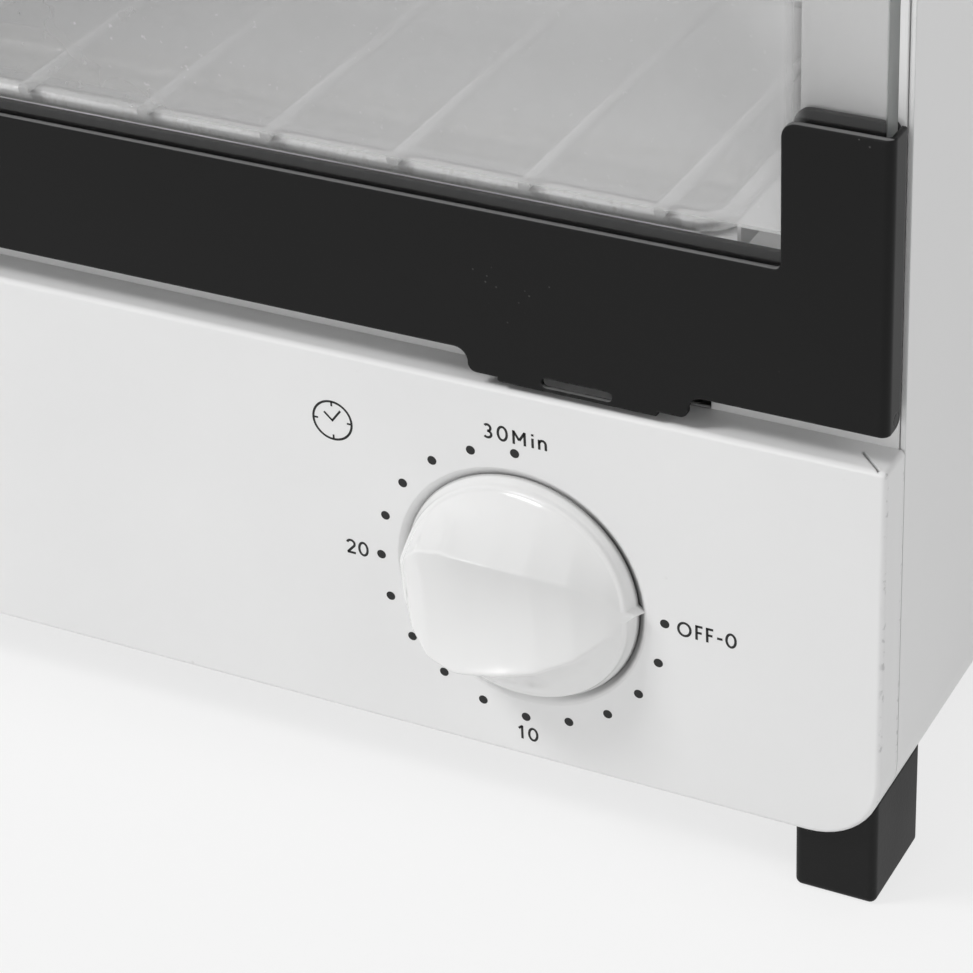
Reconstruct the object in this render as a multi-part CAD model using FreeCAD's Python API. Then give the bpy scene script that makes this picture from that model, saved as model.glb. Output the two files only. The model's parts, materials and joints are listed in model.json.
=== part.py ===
"""Bench dry heat sterilizer: a painted steel cabinet with a heated chamber behind a drop-down glass door."""

import FreeCAD, Part
import math
import os

# All lengths are in millimetres. While it is modelled, the object stands on z = 0, its middle is at x = 0 and
# the face of its control panel is at y = 0, with +Y to the back. Each saved piece is then shifted along Y, so
# that the origin lies under the middle of the whole object.

# Sheet metal and general clearances
sheet = 0.8
thin_sheet = 0.6
seam_gap = 0.2
body_gap = 0.3
pin_clearance = 0.05
screw_clearance = 0.1
overrun = 4.0

# Cabinet
body_width = 258.0
body_height = 184.5
body_depth = 125.0
corner_radius = 12.0
foot_height = 13.0
shell_return = 29.0
base_side_gap = 16.0
flange_depth = 8.0

# Control panel, with the dish that the knob stands in
ledge_height = 69.1
panel_depth = 7.3
fold_radius = 0.9
ledge_fold_radius = 0.9
ledge_lip_height = 8.0
frame_setback = 7.2
dish_floor_margin = 0.2
dish_slope = 1.7
dish_depth = 1.2
relief_slit_length = 5.8
relief_slit_width = 0.45
relief_slit_angle = 44.0
relief_slit_inset = 1.4

# Door
door_gap = 5.9
bar_height = 24.4
arm_rise = 23.5
arm_width = 16.9
arm_corner_radius = 2.5
bar_corner_radius = 1.0
door_fold_radius = 1.4
door_depth = 5.0
back_plate_front = 5.6
back_plate_inset = 1.2
back_plate_rise = 0.5
back_arm_margin = 0.3
plate_edge_round = 0.3
door_top_margin = 1.2
rail_height = 19.0
glass_thickness = 4.0
glass_front = 1.2
glass_side_inset = 1.5
glass_bottom_rise = 9.0
glass_top_inset = 2.5
gasket_height = 9.0
spacer_radius = 3.0
bracket_screw_share = 0.48
bracket_screw_rise = 4.4
door_screw_radius = 1.5
door_screw_head_radius = 2.6
door_screw_head_height = 0.9

# Tabs under the door, with the stop plate in the middle of each
tab_side_inset = 50.0
tab_width = 36.8
tab_drop = 3.85
tab_corner_radius = 1.4
tab_root_radius = 2.3
stop_width = 26.8
stop_drop = 0.8
stop_slot_width = 11.8
stop_slot_height = 1.7
stop_slot_rise = 0.7
window_gap = 0.6

# Hinge
hinge_y = 3.2
hinge_rise = 1.6
hinge_pin_radius = 1.0
hinge_eye_radius = 2.0
hinge_corner_radius = 2.0
hinge_notch_gap = 0.6
hinge_lug_inset = 6.5
hinge_lug_sheet = 1.0
hinge_pin_tail = 1.2
hinge_strap_height = 1.6

# Handle on the door
handle_width = 150.0
handle_height = 12.0
handle_bar_depth = 9.0
handle_reach = 28.0
handle_post_width = 14.0
handle_round = 2.5
handle_bend_radius = 9.0
handle_screw_depth = 12.0

# Chamber
chamber_floor_rise = 7.9
chamber_top_space = 11.5
chamber_back_space = 27.0
chamber_side_space = 15.8
chamber_corner_radius = 4.0
opening_margin = 0.4

# Wire rack and its rails
rack_level = 21.0
rack_front = 13.0
rack_back_gap = 6.0
rack_frame_radius = 1.5
rack_wire_radius = 1.0
rack_wire_count = 9
rack_wire_spread_share = 0.903
rack_wire_overhang = 3.0
rack_corner_radius = 6.0
rack_weld_share = 0.6
rail_side_gap = 0.9
rail_step_width = 11.8
rail_shelf_width = 7.5
rail_flange_height = 6.0
rail_step_rise = 4.0
rail_front_inset = 3.0

# Heaters
heater_place_share = 0.51
heater_radius = 4.0
heater_floor_gap = 8.0
heater_end_length = 5.5
insulator_radius = 6.5
insulator_flange_radius = 7.6
insulator_flange = 2.0
insulator_length = 9.0
terminal_width = 5.0
terminal_length = 3.0

# Insulation, thermostat and fuse
blanket_thickness = 8.0
blanket_side_gap = 3.2
thermostat_x_share = 0.19
thermostat_place_share = 0.63
thermostat_radius = 8.0
thermostat_height = 7.0
thermostat_flange_radius = 10.0
thermostat_flange = 1.0
fuse_radius = 2.2
fuse_length = 14.0
fuse_clip_width = 6.0
fuse_clip_foot = 5.0

# Timer and its knob
dial_side_inset = 61.0
dial_height_share = 0.47757
timer_width = 42.0
timer_case_depth = 22.0
timer_wall = 1.5
timer_cover_sheet = 1.2
timer_shaft_radius = 3.0
timer_bush_radius = 5.0
timer_bush_length = 3.0
timer_bore_radius = 5.6
cam_radius = 13.0
cam_thickness = 4.0
cam_notch_radius = 3.5
cam_inset = 5.0
bell_radius = 18.0
bell_depth = 9.0
bell_wall = 0.8
bell_gap = 2.0
bell_post_radius = 2.5
bell_shoulder_share = 0.72
timer_screw_offset = 11.5
timer_screw_radius = 1.5
timer_screw_head_radius = 2.3
timer_screw_head_height = 0.8
contact_width = 4.8
contact_length = 7.0

knob_radius = 19.5
knob_flare = 0.9
knob_back_gap = 0.6
knob_rim_height = 1.4
knob_height = 12.3
knob_tilt = 4.0
knob_bore_depth = 8.5
knob_hub_radius = 5.6
knob_hollow_radius = 15.0
knob_hollow_depth = 3.6
shaft_flat_share = 0.72

# The grip across the knob, from its round end to its pointed nose: where each cross section stands and how
# far it reaches sideways, as shares of the knob's radius, then the height of its edges and of its crown, as
# shares of the knob's height
grip_sections_shares = (
    (-0.985, 0.15, 0.17, 0.26),
    (-0.93, 0.28, 0.38, 0.58),
    (-0.83, 0.39, 0.62, 0.84),
    (-0.64, 0.52, 0.76, 0.96),
    (-0.36, 0.555, 0.80, 1.0),
    (0.0, 0.52, 0.78, 0.97),
    (0.33, 0.46, 0.70, 0.86),
    (0.62, 0.36, 0.52, 0.65),
    (0.87, 0.22, 0.29, 0.37),
    (1.0, 0.11, 0.16, 0.19),
    (1.07, 0.015, 0.10, 0.105),
)

# Indicator lamp
lamp_side_inset = 25.0
lamp_radius = 4.0
lamp_bezel_radius = 5.6
lamp_bezel_height = 1.0
lamp_lens_height = 1.6
lamp_dome_shares = ((0.8, 0.7), (0.4, 1.0))
lamp_body_length = 16.0
lamp_clip_width = 13.0
lamp_clip_thickness = 1.2

# Feet
foot_width = 13.75
foot_length = 19.0
foot_side_inset = 1.2
foot_front_inset = 2.0
foot_rear_inset = 4.0
foot_round = 1.2
foot_screw_x_inset = 11.6
foot_screw_radius = 1.2
foot_screw_depth = 7.0
foot_screw_head_radius = 2.0
foot_screw_head_height = 1.3
foot_screw_seat = 0.3

# Back panel, cord gland, base plate and their screws
back_panel_gap = 0.2
vent_count = 9
vent_width = 3.0
vent_height = 22.0
vent_pitch = 9.0
vent_top_inset = 34.5
base_vent_count = 7
base_vent_length = 34.0
base_vent_width = 3.0
base_vent_pitch = 11.0
gland_side_inset = 41.0
gland_rise = 24.0
gland_bore_radius = 3.6
gland_radius = 6.5
gland_flange_radius = 9.5
gland_flange = 3.0
gland_reach = 7.0
gland_tail = 8.0
gland_nut_radius = 9.0
gland_nut_thickness = 3.0
nut_sides = 6
screw_radius = 1.6
screw_head_radius = 3.0
screw_head_height = 1.8
screw_length = 7.0
screw_slot_width = 0.8
screw_slot_depth = 0.7
screw_edge_inset = 4.5
back_screw_rows_shares = (0.12, 0.5, 0.88)
base_screw_rows_shares = (0.2, 0.78)

# Terminal block, earth stud and leads
block_x_share = -0.4
block_back_space = 41.0
block_width = 34.0
block_depth = 16.0
block_height = 14.0
block_way_radius = 2.2
block_ways = 3
stud_x_share = -0.14
stud_radius = 2.0
stud_height = 9.0
stud_nut_radius = 4.0
stud_nut_thickness = 3.0
lead_radius = 1.1
lead_bend_radius = 7.0

# Worked out from the sizes above
half_width = body_width / 2
inner_half_width = half_width - sheet
body_bottom = foot_height
body_top = body_bottom + body_height
ledge_z = body_bottom + ledge_height
dial_x = half_width - dial_side_inset
dial_z = body_bottom + ledge_height * dial_height_share
knob_back_radius = knob_radius + knob_flare
dish_floor_radius = knob_back_radius + dish_floor_margin
dish_radius = dish_floor_radius + dish_slope
lamp_x = lamp_side_inset - half_width
gland_x = gland_side_inset - half_width
block_x = half_width * block_x_share
block_y = body_depth - block_back_space
stud_x = half_width * stud_x_share
tab_centre_x = half_width - tab_side_inset
bracket_screw_x = half_width * bracket_screw_share
door_bottom = ledge_z + door_gap
bar_top = door_bottom + bar_height
arm_top = bar_top + arm_rise
door_top = body_top - door_top_margin
rail_bottom = door_top - rail_height
arm_inner_x = half_width - arm_width
hinge_z = door_bottom + hinge_rise
frame_back = frame_setback + sheet
shell_front = panel_depth + seam_gap
chamber_floor = ledge_z + chamber_floor_rise
chamber_ceiling = body_top - chamber_top_space
chamber_back = body_depth - chamber_back_space
chamber_half_width = half_width - chamber_side_space
opening_half_width = chamber_half_width - opening_margin
rack_half_width = chamber_half_width - rail_step_width - rail_side_gap - rack_frame_radius
heater_y = chamber_back * heater_place_share
thermostat_x = half_width * thermostat_x_share
thermostat_y = chamber_back * thermostat_place_share
fuse_x = -thermostat_x
glass_back = glass_front + glass_thickness
door_back = back_plate_front + sheet
base_top = body_bottom + sheet + sheet
handle_z = rail_bottom + rail_height / 2
depth_middle = (body_depth + gland_reach - handle_reach) / 2
rack_z = chamber_floor + rack_level
lower_heater_z = chamber_floor + heater_floor_gap
upper_heater_z = chamber_ceiling - heater_floor_gap

X_AXIS = FreeCAD.Vector(1, 0, 0)
Y_AXIS = FreeCAD.Vector(0, 1, 0)
Z_AXIS = FreeCAD.Vector(0, 0, 1)
ORIGIN = FreeCAD.Vector(0, 0, 0)


def save(node, *solids):
    """Writes the solids of one node, shifted so that the origin is under the middle of the object."""
    whole = solids[0] if len(solids) == 1 else Part.Compound(list(solids))
    whole = whole.copy()
    whole.translate(FreeCAD.Vector(0, -depth_middle, 0))
    whole.exportStep("parts/" + node + ".step")
    print(node, len(whole.Solids), round(whole.Volume, 1), whole.isValid())


def block(x0, x1, y0, y1, z0, z1):
    """A box between two corners."""
    return Part.makeBox(x1 - x0, y1 - y0, z1 - z0, FreeCAD.Vector(x0, y0, z0))


def rod_x(radius, x0, x1, y, z):
    return Part.makeCylinder(radius, x1 - x0, FreeCAD.Vector(x0, y, z), X_AXIS)


def rod_y(radius, y0, y1, x, z):
    return Part.makeCylinder(radius, y1 - y0, FreeCAD.Vector(x, y0, z), Y_AXIS)


def rod_z(radius, z0, z1, x, y):
    return Part.makeCylinder(radius, z1 - z0, FreeCAD.Vector(x, y, z0), Z_AXIS)


def mirrored(shape):
    """The same shape on the other side of the middle."""
    return shape.mirror(ORIGIN, X_AXIS)


def both_sides(shape):
    return [shape, mirrored(shape)]


def rounded(shape, radius, wanted):
    """Fillets every edge whose middle point and direction the test accepts."""
    chosen = []
    for edge in shape.Edges:
        middle = edge.valueAt((edge.FirstParameter + edge.LastParameter) / 2)
        tangent = edge.tangentAt((edge.FirstParameter + edge.LastParameter) / 2)
        if wanted(middle, tangent):
            chosen.append(edge)
    return shape.makeFillet(radius, chosen)


def near(a, b):
    return abs(a - b) < sheet / 10


def along(tangent, axis):
    return abs(tangent.dot(axis)) > 1 - sheet / 100


def rounded_block(half, y0, y1, z0, z1, low_radius, high_radius):
    """A box seen from the front as a rectangle with round lower and upper corners."""
    shape = block(-half, half, y0, y1, z0, z1)
    middle_z = (z0 + z1) / 2
    if low_radius > 0:
        shape = rounded(shape, low_radius, lambda p, t: along(t, Y_AXIS) and p.z < middle_z)
    if high_radius > 0:
        shape = rounded(shape, high_radius, lambda p, t: along(t, Y_AXIS) and p.z > middle_z)
    return shape


def panel_from(points, y0, y1):
    """A flat plate seen from the front: corner points in X and Z, carried from y0 to y1."""
    corners = [FreeCAD.Vector(x, y0, z) for x, z in points]
    face = Part.Face(Part.makePolygon(corners + corners[:1]))
    return face.extrude(FreeCAD.Vector(0, y1 - y0, 0))


def turned(points, x, z):
    """A solid of revolution about a line along Y through x and z, from radius and y points."""
    corners = [FreeCAD.Vector(x + radius, y, z) for radius, y in points]
    face = Part.Face(Part.makePolygon(corners + corners[:1]))
    return face.revolve(FreeCAD.Vector(x, 0, z), Y_AXIS, 360)


def round_path(points, radius):
    """A wire of straight runs joined by tangent arcs of one radius."""
    edges = []
    start = points[0]
    for before, corner, after in zip(points, points[1:], points[2:]):
        back = (before - corner).normalize()
        ahead = (after - corner).normalize()
        half_turn = back.getAngle(ahead) / 2
        reach = radius / math.tan(half_turn)
        bisector = (back + ahead).normalize()
        middle = corner + bisector * (radius / math.sin(half_turn) - radius)
        entry = corner + back * reach
        leave = corner + ahead * reach
        edges.append(Part.LineSegment(start, entry).toShape())
        edges.append(Part.Arc(entry, middle, leave).toShape())
        start = leave
    edges.append(Part.LineSegment(start, points[-1]).toShape())
    return Part.Wire(edges)


def bent_rod(points, radius, bend_radius):
    """A round rod along straight runs and tangent arcs."""
    vectors = [FreeCAD.Vector(*point) for point in points]
    path = round_path(vectors, bend_radius) if len(vectors) > 2 else Part.makePolygon(vectors)
    direction = vectors[1] - vectors[0]
    section = Part.Wire(Part.makeCircle(radius, vectors[0], direction))
    return path.makePipeShell([section], True, False)


def screw_y(x, y, z, radius, head_radius, head_height, length, direction):
    """A screw along Y with a slotted head whose underside is at y; direction 1 drives it to the back."""
    low = min(y, y + direction * length)
    high = max(y, y + direction * length)
    shank = rod_y(radius, low, high, x, z)
    low = min(y, y - direction * head_height)
    high = max(y, y - direction * head_height)
    head = rod_y(head_radius, low, high, x, z)
    outer = y - direction * head_height
    inner = outer + direction * min(screw_slot_depth, head_height / 2)
    slot = block(
        x - head_radius, x + head_radius, min(outer, inner), max(outer, inner),
        z - screw_slot_width / 2, z + screw_slot_width / 2,
    )
    return shank.fuse(head).removeSplitter().cut(slot)


def screw_z(x, y, z, radius, head_radius, head_height, length, direction):
    """A screw along Z with a plain pan head whose underside is at z; direction 1 drives it upwards."""
    shank = rod_z(radius, min(z, z + direction * length), max(z, z + direction * length), x, y)
    head = rod_z(head_radius, min(z, z - direction * head_height), max(z, z - direction * head_height), x, y)
    return shank.fuse(head).removeSplitter()


# Cabinet


def outer_shell():
    """The painted wrapper: top, sides and lower corners in one sheet, turned in under the base."""
    outside = rounded_block(
        half_width, shell_front, body_depth, body_bottom, body_top, corner_radius, corner_radius
    )
    inside_radius = corner_radius - sheet
    inside = rounded_block(
        inner_half_width, shell_front - overrun, body_depth + overrun,
        body_bottom + sheet, body_top - sheet, inside_radius, inside_radius,
    )
    gap_half = half_width - shell_return
    gap = block(
        -gap_half, gap_half, shell_front - overrun, body_depth + overrun, body_bottom - overrun, base_top
    )
    shell = outside.cut(inside).cut(gap)
    for x, y in foot_screw_places():
        shell = shell.cut(rod_z(foot_screw_radius + screw_clearance, body_bottom - overrun, base_top, x, y))
    for x, y in base_screw_places():
        shell = shell.cut(rod_z(screw_radius + screw_clearance, body_bottom - overrun, base_top, x, y))
    for x, z, side in back_screw_places():
        shell = shell.cut(rod_x(screw_radius + screw_clearance, *side_span(x, side), back_screw_y(), z))
    return shell


def side_span(x, side):
    """The stretch along X that a hole through a side wall covers."""
    inner = x - side * (sheet + overrun)
    outer = x + side * overrun
    return min(inner, outer), max(inner, outer)


def base_screw_places():
    x = half_width - shell_return + screw_edge_inset
    depth = body_depth - shell_front
    return [(side * x, shell_front + share * depth) for side in (-1, 1) for share in base_screw_rows_shares]


def back_screw_places():
    """Screws through the cabinet's sides into the back panel's flanges."""
    height = body_height - corner_radius - corner_radius
    low = body_bottom + corner_radius
    return [
        (side * half_width, low + share * height, side)
        for side in (-1, 1) for share in back_screw_rows_shares
    ]


def back_screw_y():
    return body_depth - sheet - flange_depth / 2


def foot_screw_places():
    x = half_width - foot_screw_x_inset
    front = foot_front_inset + foot_length - screw_edge_inset
    rear = body_depth - foot_rear_inset - foot_length / 2
    return [(side * x, y) for side in (-1, 1) for y in (front, rear)]


def base_plate():
    """The plate that closes the cabinet underneath, with a row of vents."""
    half = half_width - base_side_gap
    front = fold_radius + seam_gap
    plate = block(-half, half, front, body_depth - sheet - seam_gap, body_bottom + sheet, base_top)
    first = -(base_vent_count - 1) * base_vent_pitch / 2
    vent_y = body_depth / 2
    for i in range(base_vent_count):
        x = first + i * base_vent_pitch
        slot = block(
            x - base_vent_width / 2, x + base_vent_width / 2,
            vent_y - base_vent_length / 2, vent_y + base_vent_length / 2,
            body_bottom - overrun, base_top + overrun,
        )
        plate = plate.cut(slot)
    for x, y in base_screw_places():
        plate = plate.cut(rod_z(screw_radius + screw_clearance, body_bottom, base_top + overrun, x, y))
    plate = plate.cut(rod_z(stud_radius + screw_clearance, body_bottom, base_top + overrun, stud_x, block_y))
    return plate


def base_screws():
    return [
        screw_z(x, y, body_bottom, screw_radius, screw_head_radius, screw_head_height, screw_length, 1)
        for x, y in base_screw_places()
    ]


def back_panel():
    """The closing sheet at the rear, with side flanges, two rows of vents and the cord's hole."""
    half = inner_half_width - back_panel_gap
    low = base_top + back_panel_gap
    high = body_top - sheet - back_panel_gap
    radius = corner_radius - sheet - back_panel_gap
    front = body_depth - sheet - flange_depth
    outside = rounded_block(half, front, body_depth, low, high, radius, radius)
    inside = rounded_block(
        half - sheet, front - overrun, body_depth - sheet,
        low + sheet, high - sheet, radius - sheet, radius - sheet,
    )
    panel = outside.cut(inside)
    vent_low = body_top - vent_top_inset - vent_height
    first = -(vent_count - 1) * vent_pitch / 2
    for i in range(vent_count):
        x = first + i * vent_pitch
        for z in (vent_low, vent_low - vent_height - vent_pitch):
            slot = block(
                x - vent_width / 2, x + vent_width / 2, body_depth - sheet - overrun, body_depth + overrun,
                z, z + vent_height,
            )
            panel = panel.cut(slot)
    gland_hole = rod_y(
        gland_radius + screw_clearance, body_depth - sheet - overrun, body_depth + overrun,
        gland_x, body_bottom + gland_rise,
    )
    panel = panel.cut(gland_hole)
    for x, z, side in back_screw_places():
        panel = panel.cut(rod_x(screw_radius + screw_clearance, *side_span(x, side), back_screw_y(), z))
    return panel


def back_screws():
    """Screws through the cabinet's side walls into the back panel."""
    screws = []
    for x, z, side in back_screw_places():
        shank_end = x - side * screw_length
        shank = rod_x(screw_radius, min(x, shank_end), max(x, shank_end), back_screw_y(), z)
        head_end = x + side * screw_head_height
        head = rod_x(screw_head_radius, min(x, head_end), max(x, head_end), back_screw_y(), z)
        screws.append(shank.fuse(head).removeSplitter())
    return screws


def front_panel():
    """The control panel: a pan with a ledge on top, round lower corners and a dish for the knob."""
    outside = rounded_block(half_width, 0, panel_depth, body_bottom, ledge_z, corner_radius, 0)
    at_front = lambda p: near(p.y, 0)
    outside = rounded(outside, ledge_fold_radius, lambda p, t: at_front(p) and near(p.z, ledge_z))
    outside = rounded(
        outside, fold_radius,
        lambda p, t: at_front(p) and p.z < ledge_z - ledge_fold_radius / 2 and not (
            along(t, X_AXIS) and p.z > ledge_z - corner_radius
        ),
    )
    inside = rounded_block(
        inner_half_width, sheet, panel_depth + overrun, body_bottom + sheet, ledge_z - sheet,
        corner_radius - sheet, 0,
    )
    inside = rounded(
        inside, ledge_fold_radius - sheet, lambda p, t: near(p.y, sheet) and near(p.z, ledge_z - sheet)
    )
    inside = rounded(
        inside, fold_radius - sheet,
        lambda p, t: near(p.y, sheet) and p.z < ledge_z - ledge_fold_radius and not (
            along(t, X_AXIS) and p.z > ledge_z - corner_radius
        ),
    )
    panel = outside.cut(inside)
    behind = block(
        -inner_half_width, inner_half_width, frame_setback, panel_depth + overrun,
        ledge_z - sheet - seam_gap, ledge_z + overrun,
    )
    panel = panel.cut(behind)
    lip_half = inner_half_width - seam_gap
    lip_low = ledge_z - ledge_lip_height
    lip = block(-lip_half, lip_half, frame_setback - sheet, frame_setback, lip_low, ledge_z - sheet / 2)
    panel = panel.fuse(lip).removeSplitter()
    for side in (-1, 1):
        panel = panel.cut(relief_slit(side))
    panel = panel.cut(rod_y(dish_radius, -overrun, dish_depth + overrun, dial_x, dial_z))
    panel = panel.fuse(knob_dish()).removeSplitter()
    panel = panel.cut(rod_y(lamp_radius + screw_clearance, -overrun, overrun, lamp_x, dial_z))
    return panel


def relief_slit(side):
    """A narrow cut that runs from the panel's upper corner into the ledge."""
    slit = block(
        -relief_slit_length, 0, -relief_slit_width / 2, relief_slit_width / 2,
        ledge_z - ledge_fold_radius, ledge_z + overrun,
    )
    slit.rotate(ORIGIN, Z_AXIS, -relief_slit_angle)
    slit.translate(FreeCAD.Vector(half_width - relief_slit_inset, relief_slit_width, 0))
    return slit if side > 0 else mirrored(slit)


def knob_dish():
    """The pressed dish: a sloped wall and a flat floor with the holes for the timer."""
    points = (
        (dish_radius, 0),
        (dish_radius, sheet),
        (dish_floor_radius, dish_depth + sheet),
        (timer_bore_radius, dish_depth + sheet),
        (timer_bore_radius, dish_depth),
        (dish_floor_radius - sheet / 2, dish_depth),
        (dish_radius - sheet / 2, 0),
    )
    dish = turned(points, dial_x, dial_z)
    for x in timer_screw_xs():
        bore_radius = timer_screw_radius + screw_clearance
        dish = dish.cut(rod_y(bore_radius, -overrun, dish_depth + overrun, x, dial_z))
    return dish


def front_frame():
    """The frame behind the door: a face with the chamber's opening, flanges and two hinge lugs."""
    half = inner_half_width - seam_gap
    low = ledge_z - ledge_lip_height
    high = body_top - sheet - seam_gap
    radius = corner_radius - sheet - seam_gap
    outside = rounded_block(half, frame_setback, frame_back + flange_depth, low, high, 0, radius)
    inside = rounded_block(
        half - sheet, frame_back, frame_back + flange_depth + overrun,
        low - overrun, high - sheet, 0, radius - sheet,
    )
    frame = outside.cut(inside)
    opening = rounded_block(
        opening_half_width, frame_setback - overrun, frame_back + overrun,
        chamber_floor + opening_margin, chamber_ceiling - opening_margin,
        chamber_corner_radius, chamber_corner_radius,
    )
    frame = frame.cut(opening)
    window_half = tab_width / 2 + window_gap
    window_top = hinge_z - hinge_y + sheet + window_gap
    for side in (-1, 1):
        window = block(
            side * tab_centre_x - window_half, side * tab_centre_x + window_half,
            frame_setback - overrun, frame_back + overrun, ledge_z, window_top,
        )
        frame = frame.cut(window)
    lug = hinge_lug()
    frame = frame.fuse([lug, mirrored(lug)]).removeSplitter()
    return frame


def hinge_lug():
    """A strap that comes forward under the door to the hinge pin, with an eye at its end."""
    x1 = half_width - hinge_lug_inset
    x0 = x1 - hinge_lug_sheet
    strap_low = hinge_z - hinge_eye_radius
    strap = block(x0, x1, hinge_y, frame_back, strap_low, strap_low + hinge_strap_height)
    eye = rod_x(hinge_eye_radius, x0, x1, hinge_y, hinge_z)
    bore = rod_x(hinge_pin_radius + pin_clearance, x0 - overrun, x1 + overrun, hinge_y, hinge_z)
    return strap.fuse(eye).removeSplitter().cut(bore)


# Chamber


def chamber_wrap():
    """Floor, back and ceiling of the chamber, bent from one bright sheet."""
    half = chamber_half_width - seam_gap / 2
    outside = block(
        -half, half, frame_back, chamber_back + thin_sheet,
        chamber_floor - thin_sheet, chamber_ceiling + thin_sheet,
    )
    at_back = lambda p, t, y: along(t, X_AXIS) and near(p.y, y)
    outside = rounded(
        outside, chamber_corner_radius + thin_sheet, lambda p, t: at_back(p, t, chamber_back + thin_sheet)
    )
    inside = block(
        -half - overrun, half + overrun, frame_back - overrun, chamber_back, chamber_floor, chamber_ceiling
    )
    inside = rounded(inside, chamber_corner_radius, lambda p, t: at_back(p, t, chamber_back))
    return outside.cut(inside)


def chamber_side():
    """The right wall of the chamber, with holes for the two heaters."""
    wall = block(
        chamber_half_width, chamber_half_width + thin_sheet, frame_back, chamber_back + thin_sheet,
        chamber_floor - thin_sheet, chamber_ceiling + thin_sheet,
    )
    for z in (lower_heater_z, upper_heater_z):
        hole = rod_x(
            insulator_radius + screw_clearance, chamber_half_width - overrun,
            chamber_half_width + overrun, heater_y, z,
        )
        wall = wall.cut(hole)
    return wall


def rack_rail():
    """The right rail: a flange on the wall, a step down and the shelf that the rack slides on."""
    wall_x = chamber_half_width
    guide_x = wall_x - rail_step_width
    shelf_z = rack_z - rack_frame_radius - body_gap
    step_z = shelf_z + rail_step_rise
    y0 = frame_back + rail_front_inset
    y1 = chamber_back - chamber_corner_radius
    flange = block(wall_x - thin_sheet, wall_x, y0, y1, step_z - thin_sheet, step_z + rail_flange_height)
    step = block(guide_x, wall_x, y0, y1, step_z - thin_sheet, step_z)
    web = block(guide_x, guide_x + thin_sheet, y0, y1, shelf_z - thin_sheet, step_z)
    shelf_x1 = guide_x + thin_sheet
    shelf = block(shelf_x1 - rail_shelf_width, shelf_x1, y0, y1, shelf_z - thin_sheet, shelf_z)
    return flange.fuse([step, web, shelf]).removeSplitter()


def wire_rack():
    """A bent wire loop with cross wires laid over it from front to back."""
    half = rack_half_width
    y0 = rack_front
    y1 = chamber_back - rack_back_gap
    back_gap = rack_corner_radius + rack_corner_radius
    loop_points = (
        (0, y0, rack_z), (half, y0, rack_z), (half, y1, rack_z),
        (-half, y1, rack_z), (-half, y0, rack_z), (-back_gap, y0, rack_z),
    )
    loop = bent_rod(loop_points, rack_frame_radius, rack_corner_radius)
    bridge = rod_x(rack_frame_radius, -back_gap, 0, y0, rack_z)
    wires = []
    wire_z = rack_z + rack_frame_radius + rack_wire_radius * rack_weld_share
    outermost = rack_half_width * rack_wire_spread_share
    for i in range(rack_wire_count):
        x = outermost * (2 * i / (rack_wire_count - 1) - 1)
        wires.append(rod_y(rack_wire_radius, y0 - rack_wire_overhang, y1 + rack_wire_overhang / 2, x, wire_z))
    return loop.fuse([bridge] + wires).removeSplitter()


def heater_tube(z):
    """A straight heating rod across the chamber, with a terminal blade at each end."""
    half = heater_half_length()
    tube = rod_x(heater_radius, -half, half, heater_y, z)
    blade = block(
        half - terminal_length, half + terminal_length, heater_y - thin_sheet / 2, heater_y + thin_sheet / 2,
        z - terminal_width / 2, z + terminal_width / 2,
    )
    return tube.fuse([blade, mirrored(blade)]).removeSplitter()


def heater_half_length():
    return chamber_half_width + thin_sheet + heater_end_length


def insulator(z):
    """A ceramic bush that holds one end of a heating rod in the chamber's wall."""
    start = chamber_half_width - insulator_flange
    bush = rod_x(insulator_radius, start, start + insulator_length, heater_y, z)
    flange = rod_x(insulator_flange_radius, start, chamber_half_width, heater_y, z)
    bore_end = start + insulator_length + overrun
    bore = rod_x(heater_radius + screw_clearance, start - overrun, bore_end, heater_y, z)
    return bush.fuse(flange).removeSplitter().cut(bore)


def insulation_blanket():
    """A mineral wool mat over the top and the back of the chamber."""
    half = chamber_half_width - blanket_side_gap
    z0 = chamber_floor
    z1 = chamber_ceiling + thin_sheet
    y1 = chamber_back + thin_sheet
    outside = block(
        -half, half, frame_back + flange_depth + overrun, y1 + blanket_thickness,
        z0, z1 + blanket_thickness,
    )
    inside = block(-half - overrun, half + overrun, 0, y1, z0 - overrun, z1)
    mat = outside.cut(inside)
    at_corner = lambda p, t: along(t, X_AXIS) and near(p.y, y1 + blanket_thickness) and p.z > z1
    return rounded(mat, blanket_thickness, at_corner)


def thermostat():
    """A round bimetal switch under the chamber's floor, with two blades."""
    top = chamber_floor - thin_sheet
    can = rod_z(thermostat_radius, top - thermostat_height, top, thermostat_x, thermostat_y)
    flange = rod_z(thermostat_flange_radius, top - thermostat_flange, top, thermostat_x, thermostat_y)
    blades = []
    for side in (-1, 1):
        x = thermostat_x + side * thermostat_radius / 2
        blades.append(
            block(
                x - thin_sheet / 2, x + thin_sheet / 2,
                thermostat_y - terminal_width / 2, thermostat_y + terminal_width / 2,
                top - thermostat_height - contact_length, top - thermostat_height,
            )
        )
    return can.fuse([flange] + blades).removeSplitter()


def fuse_z():
    return chamber_floor - thin_sheet - sheet - fuse_radius


def thermal_fuse():
    """A small cut-out that lies along X under the chamber's floor, with a wire at each end."""
    half = fuse_length / 2
    can = rod_x(fuse_radius, fuse_x - half, fuse_x + half, thermostat_y, fuse_z())
    wire = rod_x(
        thin_sheet / 2, fuse_x - half - contact_length, fuse_x + half + contact_length, thermostat_y, fuse_z()
    )
    return can.fuse(wire).removeSplitter()


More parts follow.
